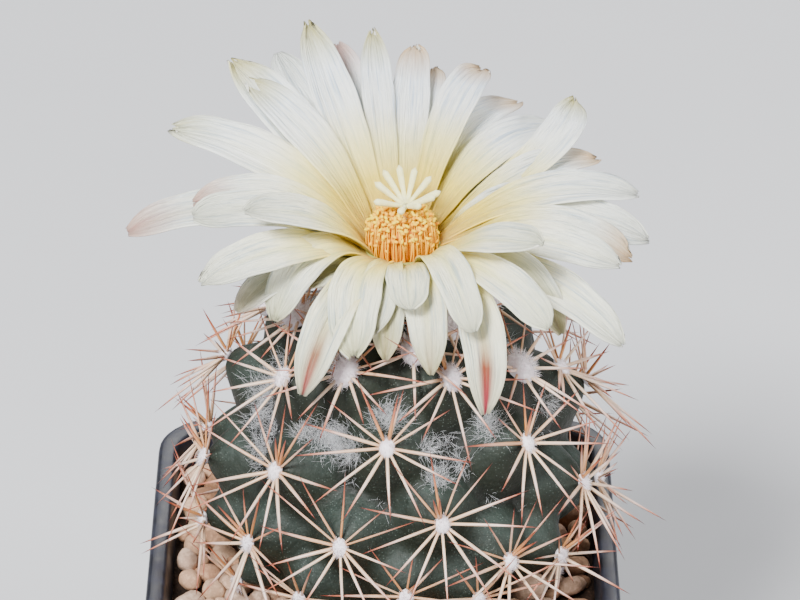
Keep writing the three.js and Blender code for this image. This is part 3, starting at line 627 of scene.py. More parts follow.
def pot_material():
    """Black moulded plastic, dusty, with a painted highlight of lighter bluish grey along the rim, brightest
    in streaks.
    """
    material, paint = new_material("pot_plastic", {"Specular IOR Level": 0.45})
    place = paint.place()
    dust = mottle(paint, 60.0, 700.0)
    stretch = paint.add("ShaderNodeMapping", {"Vector": place, "Scale": (1.0, 1.0, 0.12)}).outputs[0]
    scuff = paint.noise(stretch, 420.0, 6, 0.7)
    height = paint.add("ShaderNodeSeparateXYZ", {"Vector": place}).outputs[2]
    # Painted highlight: the rim band is painted lighter and bluer, brightest in streaks.
    rim = paint.span(height, 0.0575, 0.0605)
    rim_highlight_streaks = paint.math("MULTIPLY", rim, paint.span(scuff, 0.42, 0.68), clamp=True)
    colour = paint.mix(paint.math("MULTIPLY", dust, 0.35), rgb(9, 9, 12), rgb(25, 25, 31))
    colour = paint.mix(paint.math("MULTIPLY", rim, 0.55), colour, rgb(25, 27, 38))
    colour = paint.mix(paint.math("MULTIPLY", rim_highlight_streaks, 0.5), colour, rgb(56, 58, 74))
    paint.finish(colour, scuff, 0.15, 0.0002, paint.span(scuff, 0.3, 0.7, 0.38, 0.6))
    return material


# Pot

def pot_width(z):
    upper = RIM_WIDTH - 2 * RIM_BAND
    return BASE_WIDTH + (upper - BASE_WIDTH) * z / POT_HEIGHT


def make_pot():
    """A rounded square drawn up the outside, over the rim and down the inside."""
    bm = bmesh.new()
    bmesh.ops.create_grid(bm, x_segments=1, y_segments=1, size=BASE_WIDTH / 2)
    bmesh.ops.bevel(bm, geom=list(bm.verts), offset=BASE_CORNER, segments=9, profile=0.5, affect="VERTICES",
                    material=-1)
    inner = pot_width(POT_HEIGHT) - 2 * POT_WALL
    skirt = POT_HEIGHT - RIM_DEPTH
    steps = [
        (BASE_WIDTH + 0.5, 0.5), (pot_width(skirt), skirt), (RIM_WIDTH - RIM_ROUND, skirt),
        (RIM_WIDTH - 0.5, skirt + 0.5), (RIM_WIDTH, POT_HEIGHT - RIM_ROUND),
        (RIM_WIDTH - 0.3, POT_HEIGHT - 0.4),
        (RIM_WIDTH - 1.0, POT_HEIGHT), (inner + RIM_ROUND, POT_HEIGHT), (inner + 0.3, POT_HEIGHT - 0.35),
        (inner, POT_HEIGHT - RIM_ROUND), (pot_width(skirt) - 2 * POT_WALL, skirt),
        (BASE_WIDTH - 2 * POT_WALL, POT_FLOOR),
    ]
    width = BASE_WIDTH
    face = list(bm.faces)[0]
    height = 0
    for next_width, z in steps:
        made = bmesh.ops.extrude_face_region(bm, geom=[face, *face.edges, *face.verts])
        face = [g for g in made["geom"] if isinstance(g, bmesh.types.BMFace)][0]
        verts = list(face.verts)
        scale = next_width / width
        bmesh.ops.scale(bm, vec=(scale, scale, 1), verts=verts)
        bmesh.ops.translate(bm, vec=(0, 0, z - height), verts=verts)
        width = next_width
        height = z
    bmesh.ops.recalc_face_normals(bm, faces=bm.faces)
    pot = new_piece("pot_shell", bm, [pot_material()], ["pot"])
    drill(pot)
    edge = pot.modifiers.new("soft edges", "BEVEL")
    edge.width = 0.3 * MM
    edge.segments = 2
    edge.limit_method = "ANGLE"
    edge.angle_limit = 40 * DEG


def drill(pot):
    """Cuts the drain holes."""
    bm = bmesh.new()
    for i in range(4):
        turn = Matrix.Rotation((45 + 90 * i) * DEG, 4, "Z")
        place = turn @ Vector((DRAIN_SPREAD * math.sqrt(2), 0, 0.5))
        bmesh.ops.create_cone(bm, cap_ends=True, segments=32, radius1=DRAIN_RADIUS, radius2=DRAIN_RADIUS,
                              depth=6, matrix=Matrix.Translation(place))
    bmesh.ops.scale(bm, vec=(MM, MM, MM), verts=bm.verts)
    mesh = bpy.data.meshes.new("drill")
    bm.to_mesh(mesh)
    bm.free()
    cutter = bpy.data.objects.new("drill", mesh)
    bpy.context.scene.collection.objects.link(cutter)
    cut = pot.modifiers.new("holes", "BOOLEAN")
    cut.operation = "DIFFERENCE"
    cut.solver = "EXACT"
    cut.object = cutter
    made = bpy.data.meshes.new_from_object(pot.evaluated_get(bpy.context.evaluated_depsgraph_get()))
    pot.modifiers.remove(cut)
    pot.data = made
    bpy.data.objects.remove(cutter)


# Gravel

def make_gravel():
    """The grit bed, and pebbles of several sizes heaped on it up to the body and the pot's wall."""
    draw = random.Random(11)
    bm = bmesh.new()
    side = pot_width(GRAVEL_SURFACE) - 2 * POT_WALL - 0.2
    bmesh.ops.create_grid(bm, x_segments=60, y_segments=60, size=side / 2)
    for vert in bm.verts:
        swell = noise.noise(Vector((vert.co.x * 0.25, vert.co.y * 0.25, 3)))
        vert.co.z = GRAVEL_SURFACE - BED_BELOW + 0.8 * swell
        corner = side / 2 - BED_CORNER
        over = Vector((max(0, abs(vert.co.x) - corner), max(0, abs(vert.co.y) - corner), 0))
        if over.length > BED_CORNER:
            over.length = BED_CORNER
            vert.co.x = math.copysign(corner + over.x, vert.co.x)
            vert.co.y = math.copysign(corner + over.y, vert.co.y)
    made = bmesh.ops.extrude_face_region(bm, geom=list(bm.faces))
    verts = [g for g in made["geom"] if isinstance(g, bmesh.types.BMVert)]
    for vert in verts:
        vert.co.z = POT_FLOOR + 0.3
        vert.co.x *= BASE_WIDTH / RIM_WIDTH
        vert.co.y *= BASE_WIDTH / RIM_WIDTH
    bmesh.ops.recalc_face_normals(bm, faces=bm.faces)
    new_piece("grit_bed", bm, [soil_material()], ["gravel"])

    bm = bmesh.new()
    layers = value_layers(bm, ["tint"])
    placed = []
    for pixel, size in PEBBLES_SEEN:
        spot = seen_at_height(pixel, GRAVEL_SURFACE + 0.4)
        reach = side / 2 - size * 1.25
        spot.x = max(-reach, min(reach, spot.x))
        spot.y = max(-reach, min(reach, spot.y))
        placed.append((spot, size))
    for radius, tries in PEBBLE_TRIES:
        for _ in range(tries):
            size = radius * draw.uniform(0.85, 1.15)
            reach = side / 2 - size * 0.95
            x = draw.uniform(-reach, reach)
            y = draw.uniform(-reach, reach)
            from_body = math.hypot(x - BODY_X, y - BODY_Y)
            over = math.hypot(max(0, abs(x) - reach + 6), max(0, abs(y) - reach + 6))
            if from_body < CLEAR_OF_BODY or over > 6:
                continue
            z = GRAVEL_SURFACE + draw.uniform(-0.9, 0.7) - size * 0.25
            spot = Vector((x, y, z))
            if all((spot - other).length > (size + near) * 0.86 for other, near in placed):
                placed.append((spot, size))
    for spot, size in placed:
        pebble(bm, layers, spot, size, draw)
    bmesh.ops.recalc_face_normals(bm, faces=bm.faces)
    new_piece("pebbles", bm, [pebble_material()])


def pebble(bm, layers, spot, size, draw):
    """One worn stone: a ball stretched, knocked flat here and there, and turned."""
    made = bmesh.ops.create_icosphere(bm, subdivisions=3 if size > 1.6 else 2, radius=1)
    shape = Vector((draw.uniform(0.95, 1.3), draw.uniform(0.8, 1.05), draw.uniform(0.7, 0.95)))
    turn = Euler((draw.uniform(-0.5, 0.5), draw.uniform(-0.5, 0.5), draw.uniform(0, 6.3))).to_matrix()
    tint = draw.random()
    seed = draw.uniform(0, 100)
    flats = []
    for _ in range(4):
        way = Vector((draw.gauss(0, 1), draw.gauss(0, 1), draw.gauss(0, 1))).normalized()
        flats.append((way, draw.uniform(0.72, 0.95)))
    for vert in made["verts"]:
        p = vert.co.copy()
        p *= 1 + 0.16 * noise.noise(p * 1.3 + Vector((seed, 0, 0)))
        for way, limit in flats:
            past = p.dot(way) - limit
            if past > 0:
                p -= way * past * 0.75
        vert.co = spot + turn @ Vector((p.x * shape.x, p.y * shape.y, p.z * shape.z)) * size
        vert[layers["tint"]] = tint


# Cactus body

def sight_line(pixel):
    """The direction of the sight line through a pixel of the photograph."""
    return (AHEAD + Vector(((pixel[0] - IMAGE_WIDTH / 2) / FOCAL, 0, 0))
            + ABOVE * ((IMAGE_HEIGHT / 2 - pixel[1]) / FOCAL))


def seen_at_height(pixel, height):
    """The point at a height that is seen at a pixel."""
    way = sight_line(pixel)
    return EYE + way * ((height - EYE.z) / way.z)


def seen_on_egg(pixel):
    """The near point of the areoles' egg seen at a pixel, or the nearest to it."""
    way = sight_line(pixel)
    spot = EYE
    for half in (EGG_BELOW, EGG_ABOVE):
        shrink = Vector((1 / WIDEST, 1 / WIDEST, 1 / half))
        p = (EYE - Vector((BODY_X, BODY_Y, CORE_MIDDLE))) * shrink
        d = way * shrink
        a = d.dot(d)
        b = p.dot(d)
        c = p.dot(p) - 1
        met = EYE + way * ((-b - math.sqrt(max(0, b * b - a * c))) / a)
        if half == EGG_BELOW or met.z > CORE_MIDDLE:
            spot = met
    return spot


def egg_radius(z):
    half = EGG_ABOVE if z > CORE_MIDDLE else EGG_BELOW
    return WIDEST * math.sqrt(max(0, 1 - ((z - CORE_MIDDLE) / half) ** 2))


class Areole:
    """Where areole n sits, which way its tubercle points, and how tall it stands on the core.

    The areoles climb the egg by a millimetre each and lie closer together on the crown."""

    def __init__(self, n):
        crown = max(0, FIRST_BELOW_CROWN - n)
        if n in AREOLES_SEEN:
            self.point = seen_on_egg(AREOLES_SEEN[n])
        else:
            height = CROWN_HEIGHT - (n - FIRST_BELOW_CROWN) - CROWN_STEP * crown
            reach = egg_radius(CROWN_HEIGHT - max(0, n - FIRST_BELOW_CROWN)) - CROWN_NARROWING * crown
            spin = (SPIRAL_START + GOLDEN_ANGLE * n) * DEG
            self.point = Vector((BODY_X + reach * math.cos(spin), BODY_Y + reach * math.sin(spin), height))
        outward = Vector((self.point.x - BODY_X, self.point.y - BODY_Y, 0))
        radius = outward.length
        outward.normalize()
        rise = min(70, 20 - 1.6 * (n - 10)) * DEG
        self.n = n
        self.axis = outward * math.cos(rise) + UP * math.sin(rise)
        self.side = Vector((-outward.y, outward.x, 0))
        self.upper = self.axis.cross(self.side)
        self.size = min(1.0, radius / FULL_SIZE_RADIUS)
        self.tall = self.to_core()
        self.young = min(1.0, max(0.0, (-2 - n) / 6))

    def to_core(self):
        scale = Vector((1 / CORE_RADIUS, 1 / CORE_RADIUS, 1 / CORE_HALF_HEIGHT))
        p = (self.point - Vector((BODY_X, BODY_Y, CORE_MIDDLE))) * scale
        d = self.axis * scale
        a = d.dot(d)
        b = -2 * p.dot(d)
        c = p.dot(p) - 1
        return (-b - math.sqrt(max(0, b * b - 4 * a * c))) / (2 * a)


AREOLES = [Areole(n) for n in range(FIRST_AREOLE, LAST_AREOLE + 1)]


# A tubercle's form, as shares of its reach and height: its flanks, the dimple at its top, the groove
# above it, and how sharply one tubercle meets the next.
FLANK_POWER = 1.35
DIMPLE_DEPTH = 0.07
DIMPLE_REACH = 0.12
GROOVE_DEPTH = 0.035
GROOVE_REACH = 0.09
MEETING = 11
SKIN_AROUND = 300
SKIN_UP = 170


def lift_skin(core, normal):
    """The tubercles' blended lift at points of the core, with how upper and how deep each lies."""
    lift = np.zeros_like(core)
    weights = np.ones(len(core))
    upper = np.zeros(len(core))
    height_sum = np.zeros(len(core))
    for place in AREOLES:
        axis = np.array(place.axis)
        off = core - np.array(place.point)
        reach = TUBERCLE * place.size
        share = np.linalg.norm(np.cross(off, axis), axis=1) / reach
        inside = (share < 1) & (normal @ axis > 0.3)
        height = np.where(inside, 1 - np.minimum(share, 1) ** FLANK_POWER, 0)
        height = height - DIMPLE_DEPTH * np.exp(-(share / DIMPLE_REACH) ** 2) * inside
        above = (off @ np.array(place.upper)) / reach
        level = (off @ np.array(place.side)) / reach
        groove = np.exp(-(level / GROOVE_REACH) ** 2) * np.clip(above * 3, 0, 1) * inside
        height = height - GROOVE_DEPTH * groove
        weight = np.where(inside, np.exp(MEETING * height), 0)
        lift += (weight * height * place.tall)[:, None] * axis
        upper += weight * np.clip(0.5 + above * 0.9, 0, 1)
        height_sum += weight * height
        weights += weight
    foot = np.clip((core[:, 2] - GROUND + 1) / 4, 0, 1)
    foot = foot * foot * (3 - 2 * foot)
    latitude = np.arcsin(np.clip((core[:, 2] - CORE_MIDDLE) / CORE_HALF_HEIGHT, -1, 1)) / DEG
    top = np.clip((latitude - 68) / 13, 0, 1)
    top = 1 - top * top * (3 - 2 * top)
    return lift * (foot * top / weights)[:, None], upper / weights, height_sum / weights


def make_skin():
    """The body: a fine ball, lifted into tubercles by the rule that places the areoles."""
    bm = bmesh.new()
    layers = value_layers(bm, ["upper", "crease"])
    bmesh.ops.create_uvsphere(bm, u_segments=SKIN_AROUND, v_segments=SKIN_UP, radius=1)
    verts = list(bm.verts)
    unit = np.array([v.co[:] for v in verts])
    core = unit * np.array([CORE_RADIUS, CORE_RADIUS, CORE_HALF_HEIGHT])
    core += np.array([BODY_X, BODY_Y, CORE_MIDDLE])
    lift, upper, height = lift_skin(core, unit)
    skin = core + lift
    for vert, place, up, high in zip(verts, skin, upper, height):
        p = Vector(place)
        p += vert.co * 0.22 * noise.noise(p * 0.35)
        vert.co = p
        # How far up its tubercle a point lies: the skin is painted lighter there as painted light.
        vert[layers["upper"]] = up
        # How deep in a groove between tubercles a point lies: painted dark there as painted shade, and where
        # the axil wool grows.
        vert[layers["crease"]] = smooth(0.3, 0.02, high)
    return new_piece("cactus_skin", bm, [skin_material()], ["stem"])


# Spines: what they keep clear of, their radii, and how many an areole has
CLEAR_OF_TUBE = 6.8
PETAL_GAP_SQUARED = 1.6
SPINE_RADIUS = 0.265
THIN_SPINE_RADIUS = 0.19
SPINES_ROUND = 13
SPINES_ROUND_YOUNG = 9
YOUNG_UP_TO = -12


def blocked(p):
    """True where a spine may not pass: in the gravel, the pot's wall, the flower tube or a petal."""
    if p.z < GROUND + 0.2:
        return True
    if p.z < POT_HEIGHT + 0.8 and max(abs(p.x), abs(p.y)) > pot_width(POT_HEIGHT) / 2 - 2:
        return True
    if math.hypot(p.x - FLOWER_X, p.y - FLOWER_Y) < CLEAR_OF_TUBE:
        return True
    if p.z > 90:
        off = PETAL_SAMPLES - np.array(p)
        return float((off * off).sum(axis=1).min()) < PETAL_GAP_SQUARED
    return False


def make_spines():
    """Every areole's rosette: radial spines all round, a few thin ones above, short central ones."""
    draw = random.Random(5)
    tubes = Tubes(5, 7)
    for place in AREOLES:
        count = SPINES_ROUND if place.n > YOUNG_UP_TO else SPINES_ROUND_YOUNG
        start = draw.uniform(0, 6.3)
        for i in range(count):
            angle = start + (i + draw.uniform(-0.28, 0.28)) / count * 2 * math.pi
            above = math.sin(angle)
            length = SPINE_LENGTH * draw.uniform(0.78, 1.12) * (0.62 + 0.38 * place.size)
            if above > 0.6:
                length *= draw.uniform(0.75, 1.0)
            raise_by = draw.uniform(9, 24)
            thick = SPINE_RADIUS if above < 0.4 else THIN_SPINE_RADIUS
            tint = min(1.0, max(0.0, 0.22 + 0.4 * above + draw.uniform(-0.25, 0.35)))
            spine(tubes, place, angle, raise_by, length, thick * draw.uniform(0.85, 1.1), tint, draw)
        for _ in range(draw.choice((0, 1, 1, 2)) if place.n < 26 else 0):
            angle = math.pi / 2 + draw.uniform(-0.5, 0.5)
            length = draw.uniform(7, 10) * place.size
            spine(tubes, place, angle, draw.uniform(35, 60), length, 0.26, 0.9, draw)
    bm = bmesh.new()
    layers = value_layers(bm, ["along", "tint"])
    tubes.build(bm, layers)
    close_up(bm)
    return new_piece("spines", bm, [spine_material()])


# How much a spine that is in the way is raised, in degrees, and what share of it is kept.
RAISE_OR_SHORTEN = [
    (0, 1), (7, 1), (14, 1), (22, 1), (32, 0.9), (0, 0.7), (45, 0.8), (0, 0.45), (60, 0.6),
]


def spine(tubes, place, angle, raise_by, length, thick, tint, draw):
    """One spine: raised or shortened until it is clear, faintly bowed, tapering to its point."""
    level = place.side * math.cos(angle) + place.upper * math.sin(angle)
    bow = draw.uniform(-0.02, 0.06)
    lean = draw.uniform(-0.03, 0.03)
    for more, part in RAISE_OR_SHORTEN:
        raised = (raise_by + more) * DEG
        way = level * math.cos(raised) + place.axis * math.sin(raised)
        sideways = way.cross(place.axis).normalized()
        reach = length * part
        root = place.point + level * 0.75 + place.axis * 0.1 - way * 0.5
        points = []
        for k in range(7):
            s = k / 6
            sag = -place.axis * bow * reach * s * s + sideways * lean * reach * s * s
            points.append(root + way * reach * s + sag)
        if not any(blocked(p) for p in points[2:]):
            break
    else:
        return
    radii = [0, thick * 0.95, thick, thick * 0.86, thick * 0.66, thick * 0.4, 0]
    points[1] = root + way * 0.35
    tubes.add(points, radii, tint=tint)


def fibre(tubes, root, way, length, thick, draw, curl=0.5):
    """One hair of wool, wandering as it goes."""
    points = [root]
    heading = way.normalized()
    for _ in range(3):
        wander = Vector((draw.gauss(0, 1), draw.gauss(0, 1), draw.gauss(0, 1)))
        heading = (heading + wander * curl * 0.4).normalized()
        points.append(points[-1] + heading * length / 3)
    tubes.add(points, [0, thick, thick * 0.8, 0])


# A pad's length against its width, and the radius of its hairs
PAD_LONG = 1.4
PAD_HAIR = 0.03


def make_pads():
    """The woolly cushion of each areole: a lump under short standing hair."""
    draw = random.Random(8)
    bm = bmesh.new()
    tubes = Tubes(3, 4)
    for place in AREOLES:
        wide = 1.08 + 0.75 * place.young
        tall = 0.75 + 0.8 * place.young
        turn = Matrix((place.side, place.upper, place.axis)).transposed()
        made = bmesh.ops.create_icosphere(bm, subdivisions=2, radius=1)
        for vert in made["verts"]:
            p = vert.co * (1 + 0.22 * noise.noise(vert.co * 2.5 + place.point))
            local = Vector((p.x * wide, p.y * wide * PAD_LONG, p.z * tall))
            vert.co = place.point + place.axis * 0.15 + turn @ local
        hairs = int(120 + 300 * place.young)
        for _ in range(hairs):
            a = draw.uniform(0, 2 * math.pi)
            r = math.sqrt(draw.random())
            local = Vector((r * math.cos(a) * wide, r * math.sin(a) * wide * PAD_LONG, 0))
            local.z = tall * math.sqrt(1 - r * r * 0.9)
            root = place.point + place.axis * 0.1 + turn @ (local * 0.9)
            way = turn @ Vector((local.x, local.y, local.z * 0.8 + 0.15))
            length = draw.uniform(0.4, 0.8) + 1.2 * place.young * draw.random()
            fibre(tubes, root, way, length, PAD_HAIR, draw, 0.8)
    tubes.build(bm)
    close_up(bm)
    wool = wool_material("areole_wool", rgb(255, 248, 251), rgb(240, 224, 230))
    return new_piece("areole_wool", bm, [wool])


# Wool seen on the skin: the middle's pixel, its spread in millimetres and how many hairs.
WOOL_SEEN = [
    ((330, 440), 2.6, 900), ((352, 452), 1.6, 400), ((303, 434), 1.4, 220), ((388, 420), 2.2, 600),
    ((437, 478), 1.8, 380), ((426, 450), 1.2, 160), ((488, 426), 1.8, 500), ((460, 464), 1.0, 150),
    ((262, 390), 2.2, 300), ((258, 446), 1.2, 120), ((300, 306), 2.8, 600), ((545, 402), 1.5, 220),
]
WOOL_THICK = 0.018
GROOVE_HAIRS = 2600
FOOT_HAIRS = 1800


def make_axil_wool(skin):
    """White wool on the skin: where it is seen, thinly in the grooves and at the flower's foot."""
    draw = random.Random(21)
    tubes = Tubes(3, 4)
    surface = BVHTree.FromPolygons([v.co / MM for v in skin.data.vertices],
                                   [p.vertices for p in skin.data.polygons])
    roots = []
    for pixel, spread, hairs in WOOL_SEEN:
        sway = spread * FOCAL / DISTANCE / 2
        for _ in range(hairs):
            seen = (pixel[0] + draw.gauss(0, sway), pixel[1] + draw.gauss(0, sway))
            spot, normal, _, _ = surface.ray_cast(EYE, sight_line(seen))
            if spot:
                roots.append((spot, normal))
    grooves = []
    for vert, crease in zip(skin.data.vertices, skin.data.attributes["crease"].data):
        p = vert.co / MM
        thick = noise.noise(p * 0.22) + (p.z - 86) * 0.03
        if crease.value > 0.5 and thick > 0.1 and GROUND + 4 < p.z < 103:
            grooves.append((p, vert.normal.copy()))
    grooves.sort(key=lambda found: tuple(round(c, 3) for c in found[0]))
    roots += [draw.choice(grooves) for _ in range(GROOVE_HAIRS)]
    for root, normal in roots:
        way = normal * draw.uniform(0.1, 0.5) + Vector([draw.gauss(0, 0.6) for _ in range(3)])
        fibre(tubes, root - normal * 0.1, way, draw.uniform(1.2, 3.2), WOOL_THICK, draw, 0.4)
    for i in range(FOOT_HAIRS):
        a = i * GOLDEN_ANGLE * DEG
        r = draw.uniform(3.2, 9.5)
        root = Vector((FLOWER_X + r * math.cos(a), FLOWER_Y + r * math.sin(a), 104.6 - 0.012 * r * r))
        way = Vector((math.cos(a), math.sin(a), draw.uniform(0.4, 1.6)))
        fibre(tubes, root, way, draw.uniform(1.5, 3.2), 0.03, draw, 0.8)
    bm = bmesh.new()
    tubes.build(bm)
    close_up(bm)
    wool = wool_material("axil_wool", rgb(248, 248, 250), rgb(222, 224, 228))
    return new_piece("axil_wool", bm, [wool])


# Flower

class Petal:
    """A petal's middle line, bent from its root at the throat to its tip, and what it looks like."""

    def __init__(self, tip, arch, look, knee, sway, width, outer):
        self.tip = tip
        self.look = look
        self.width = width
        self.outer = outer
        out = tip - Vector((FLOWER_X, FLOWER_Y, 0))
        azimuth = math.atan2(out.y, out.x)
        radius = OUTER_RADIUS if outer else INNER_RADIUS
        self.root = Vector((FLOWER_X + radius * math.cos(azimuth), FLOWER_Y + radius * math.sin(azimuth),
                            OUTER_HEIGHT if outer else INNER_HEIGHT))
        self.level = Vector((-math.sin(azimuth), math.cos(azimuth), 0))
        self.lean = PETAL_LEAN * DEG * math.cos(azimuth)
        self.warm = 0.5 - 0.5 * math.sin(azimuth)
        chord = tip - self.root
        self.bend = (self.root + chord * knee + chord.cross(self.level) * 2 * arch
                     + self.level * 2 * sway * chord.length)

    def at(self, s):
        """The point at share s, the direction across the petal and the one off its face."""
        point = self.root * (1 - s) ** 2 + self.bend * 2 * s * (1 - s) + self.tip * s * s
        tangent = ((self.bend - self.root) * (1 - s) + (self.tip - self.bend) * s).normalized()
        across = (self.level - tangent * self.level.dot(tangent)).normalized()
        across = Matrix.Rotation(self.lean * min(1, 2 * s), 3, tangent) @ across
        return point, across, tangent.cross(across)


def all_petals():
    """The petals that can be seen, then the row that they hide."""
    found = []
    for row in LEFT_PETALS + BACK_PETALS + RIGHT_PETALS + FRONT_PETALS:
        tip = seen_at_height(row["tip"], row["height"])
        found.append(Petal(tip, row["arch"], row["look"], row["knee"], row["sway"], row["width"],
                           row["outer"]))
    draw = random.Random(2)
    for i in range(HIDDEN_COUNT):
        azimuth = (HIDDEN_FROM + (HIDDEN_TO - HIDDEN_FROM) * i / (HIDDEN_COUNT - 1)) * DEG
        pitch = (HIDDEN_RISE + draw.uniform(-8, 8)) * DEG
        reach = OUTER_RADIUS + HIDDEN_LENGTH * math.cos(pitch)
        tip = Vector((FLOWER_X + reach * math.cos(azimuth), FLOWER_Y + reach * math.sin(azimuth),
                      OUTER_HEIGHT + HIDDEN_LENGTH * math.sin(pitch)))
        found.append(Petal(tip, 0.1, "olive", 0.5, 0, 4.6, True))
    return found


PETALS = all_petals()


def petal_samples():
    """Points spread over every petal, which the spines keep clear of."""
    points = []
    for leaf in PETALS:
        for i in range(21):
            point, across, _ = leaf.at(i / 20)
            half = leaf.width / 2 * petal_half(i / 20)
            points += [point + across * half * k for k in (-1, -0.5, 0, 0.5, 1)]
    return np.array(points)


def petal(bm, layers, index, leaf, draw):
    """One petal: a grid laid along its middle line, troughed, waved and notched at the tip."""
    *traits, point = TIPS[leaf.look]
    fray = traits[-1]
    width = leaf.width * draw.uniform(1.06, 1.18)
    trough = draw.uniform(0.12, 0.3)
    wave = draw.uniform(0.15, 0.45)
    phase = draw.uniform(0, 6.3)
    roll = draw.uniform(-12, 12) * DEG
    layer = draw.uniform(-0.35, 0.35)
    tint = draw.random()
    made = bmesh.ops.create_grid(bm, x_segments=PETAL_COLUMNS, y_segments=PETAL_ROWS, size=1)
    for vert in made["verts"]:
        u = -vert.co.x
        share = (vert.co.y + 1) / 2
        notch = 0.05 * fray * abs(noise.noise(Vector((u * 3.1, index * 7.3, 0.5))))
        notch += 0.05 * fray * abs(noise.noise(Vector((u * 6.5, index * 3.1, 4.5)))) * smooth(0.6, 1, share)
        s = share * (1 - notch)
        middle, across, face = leaf.at(s)
        half = width / 2 * petal_half(share, point)
        angle = roll * s
        over = across * math.cos(angle) + face * math.sin(angle)
        out = face * math.cos(angle) - across * math.sin(angle)
        lift = trough * half * u * u * 1.2 - 0.16 * math.exp(-(u / 0.16) ** 2) * smooth(0, 0.3, s)
        lift += wave * math.sin(share * 9 + phase + u * 1.5) * u * u * smooth(0.2, 0.9, s) * 0.8
        lift += 0.5 * noise.noise(Vector((share * 3, u * 0.8, index * 5.7))) * smooth(0.1, 0.6, s)
        lift += 0.14 * noise.noise(Vector((share * 1.6, u * 4.2, index * 2.9))) * smooth(0.15, 0.5, s)
        lift += layer * (1 - smooth(0, 0.5, s))
        vert.co = middle + over * half * u + out * lift
        vert[layers["along"]] = s
        vert[layers["across"]] = u
        vert[layers["tint"]] = tint
        vert[layers["warm"]] = leaf.warm
        for name, value in zip(TRAITS, traits):
            vert[layers[name]] = value


def petal_half(share, point=0.4):
    """A petal's half width along its length, against its widest: its tip is blunt or pointed."""
    start = 0.86 - 0.16 * point
    if share < start:
        return smooth_along(share)
    tip = (share - start) / (1 - start)
    closing = max(0.0, 1 - tip ** (2.2 - 0.6 * point)) ** (0.5 + 0.35 * point)
    return max(0.22 - 0.16 * point, smooth_along(start) * closing)


def smooth_along(share):
    points = [(0, 0.3), (0.2, 0.6), (0.45, 0.88), (0.65, 1), (0.86, 0.86)]
    for (k0, v0), (k1, v1) in zip(points, points[1:]):
        if share <= k1:
            return v0 + (v1 - v0) * smooth(k0, k1, share) * 0.5 + (v1 - v0) * (share - k0) / (k1 - k0) * 0.5
    return points[-1][1]


PETAL_SAMPLES = petal_samples()


def make_petals():
    draw = random.Random(3)
    bm = bmesh.new()
    layers = value_layers(bm, ["along", "across", "tint", "warm", *TRAITS])
    for index, leaf in enumerate(PETALS):
        petal(bm, layers, index, leaf, draw)
    petals = new_piece("petals", bm, [petal_material(), petal_back_material()], ["flower"])
    thick = petals.modifiers.new("thickness", "SOLIDIFY")
    thick.thickness = PETAL_THICKNESS * MM
    thick.offset = -1
    thick.material_offset = 1


def revolve(profile, x, y, segments):
    """A closed turned body: the profile spun round an upright line, its ends on the line."""
    bm = bmesh.new()
    verts = [bm.verts.new((x + r, y, z)) for r, z in profile]
    edges = [bm.edges.new(pair) for pair in zip(verts, verts[1:])]
    bmesh.ops.spin(bm, geom=verts + edges, cent=(x, y, 0), axis=(0, 0, 1), angle=2 * math.pi, steps=segments,
                   use_merge=True)
    close_up(bm)
    return bm


def make_tube():
    """The flower's short green tube, flaring to the throat."""
    bm = revolve([
        (0, 102), (3.0, 102), (3.1, 105), (4.2, 108), (5.6, 110.6), (6.1, 112.6), (6.1, 113.8),
        (5.6, 114.3), (4.7, 114), (4.4, 112), (4.1, 109.2), (0, 109),
    ], FLOWER_X, FLOWER_Y, 48)
    material, paint = new_material("flower_tube", {"Roughness": 0.6, "Specular IOR Level": 0.3})
    blotch = mottle(paint, 250.0, 1500.0)
    paint.finish(paint.ramp(blotch, [
        (0.3, rgb(120, 124, 52)), (0.6, rgb(168, 164, 84)), (0.8, rgb(196, 188, 120))]),
                 blotch, 0.3, 0.0005)
    return new_piece("flower_tube", bm, [material])


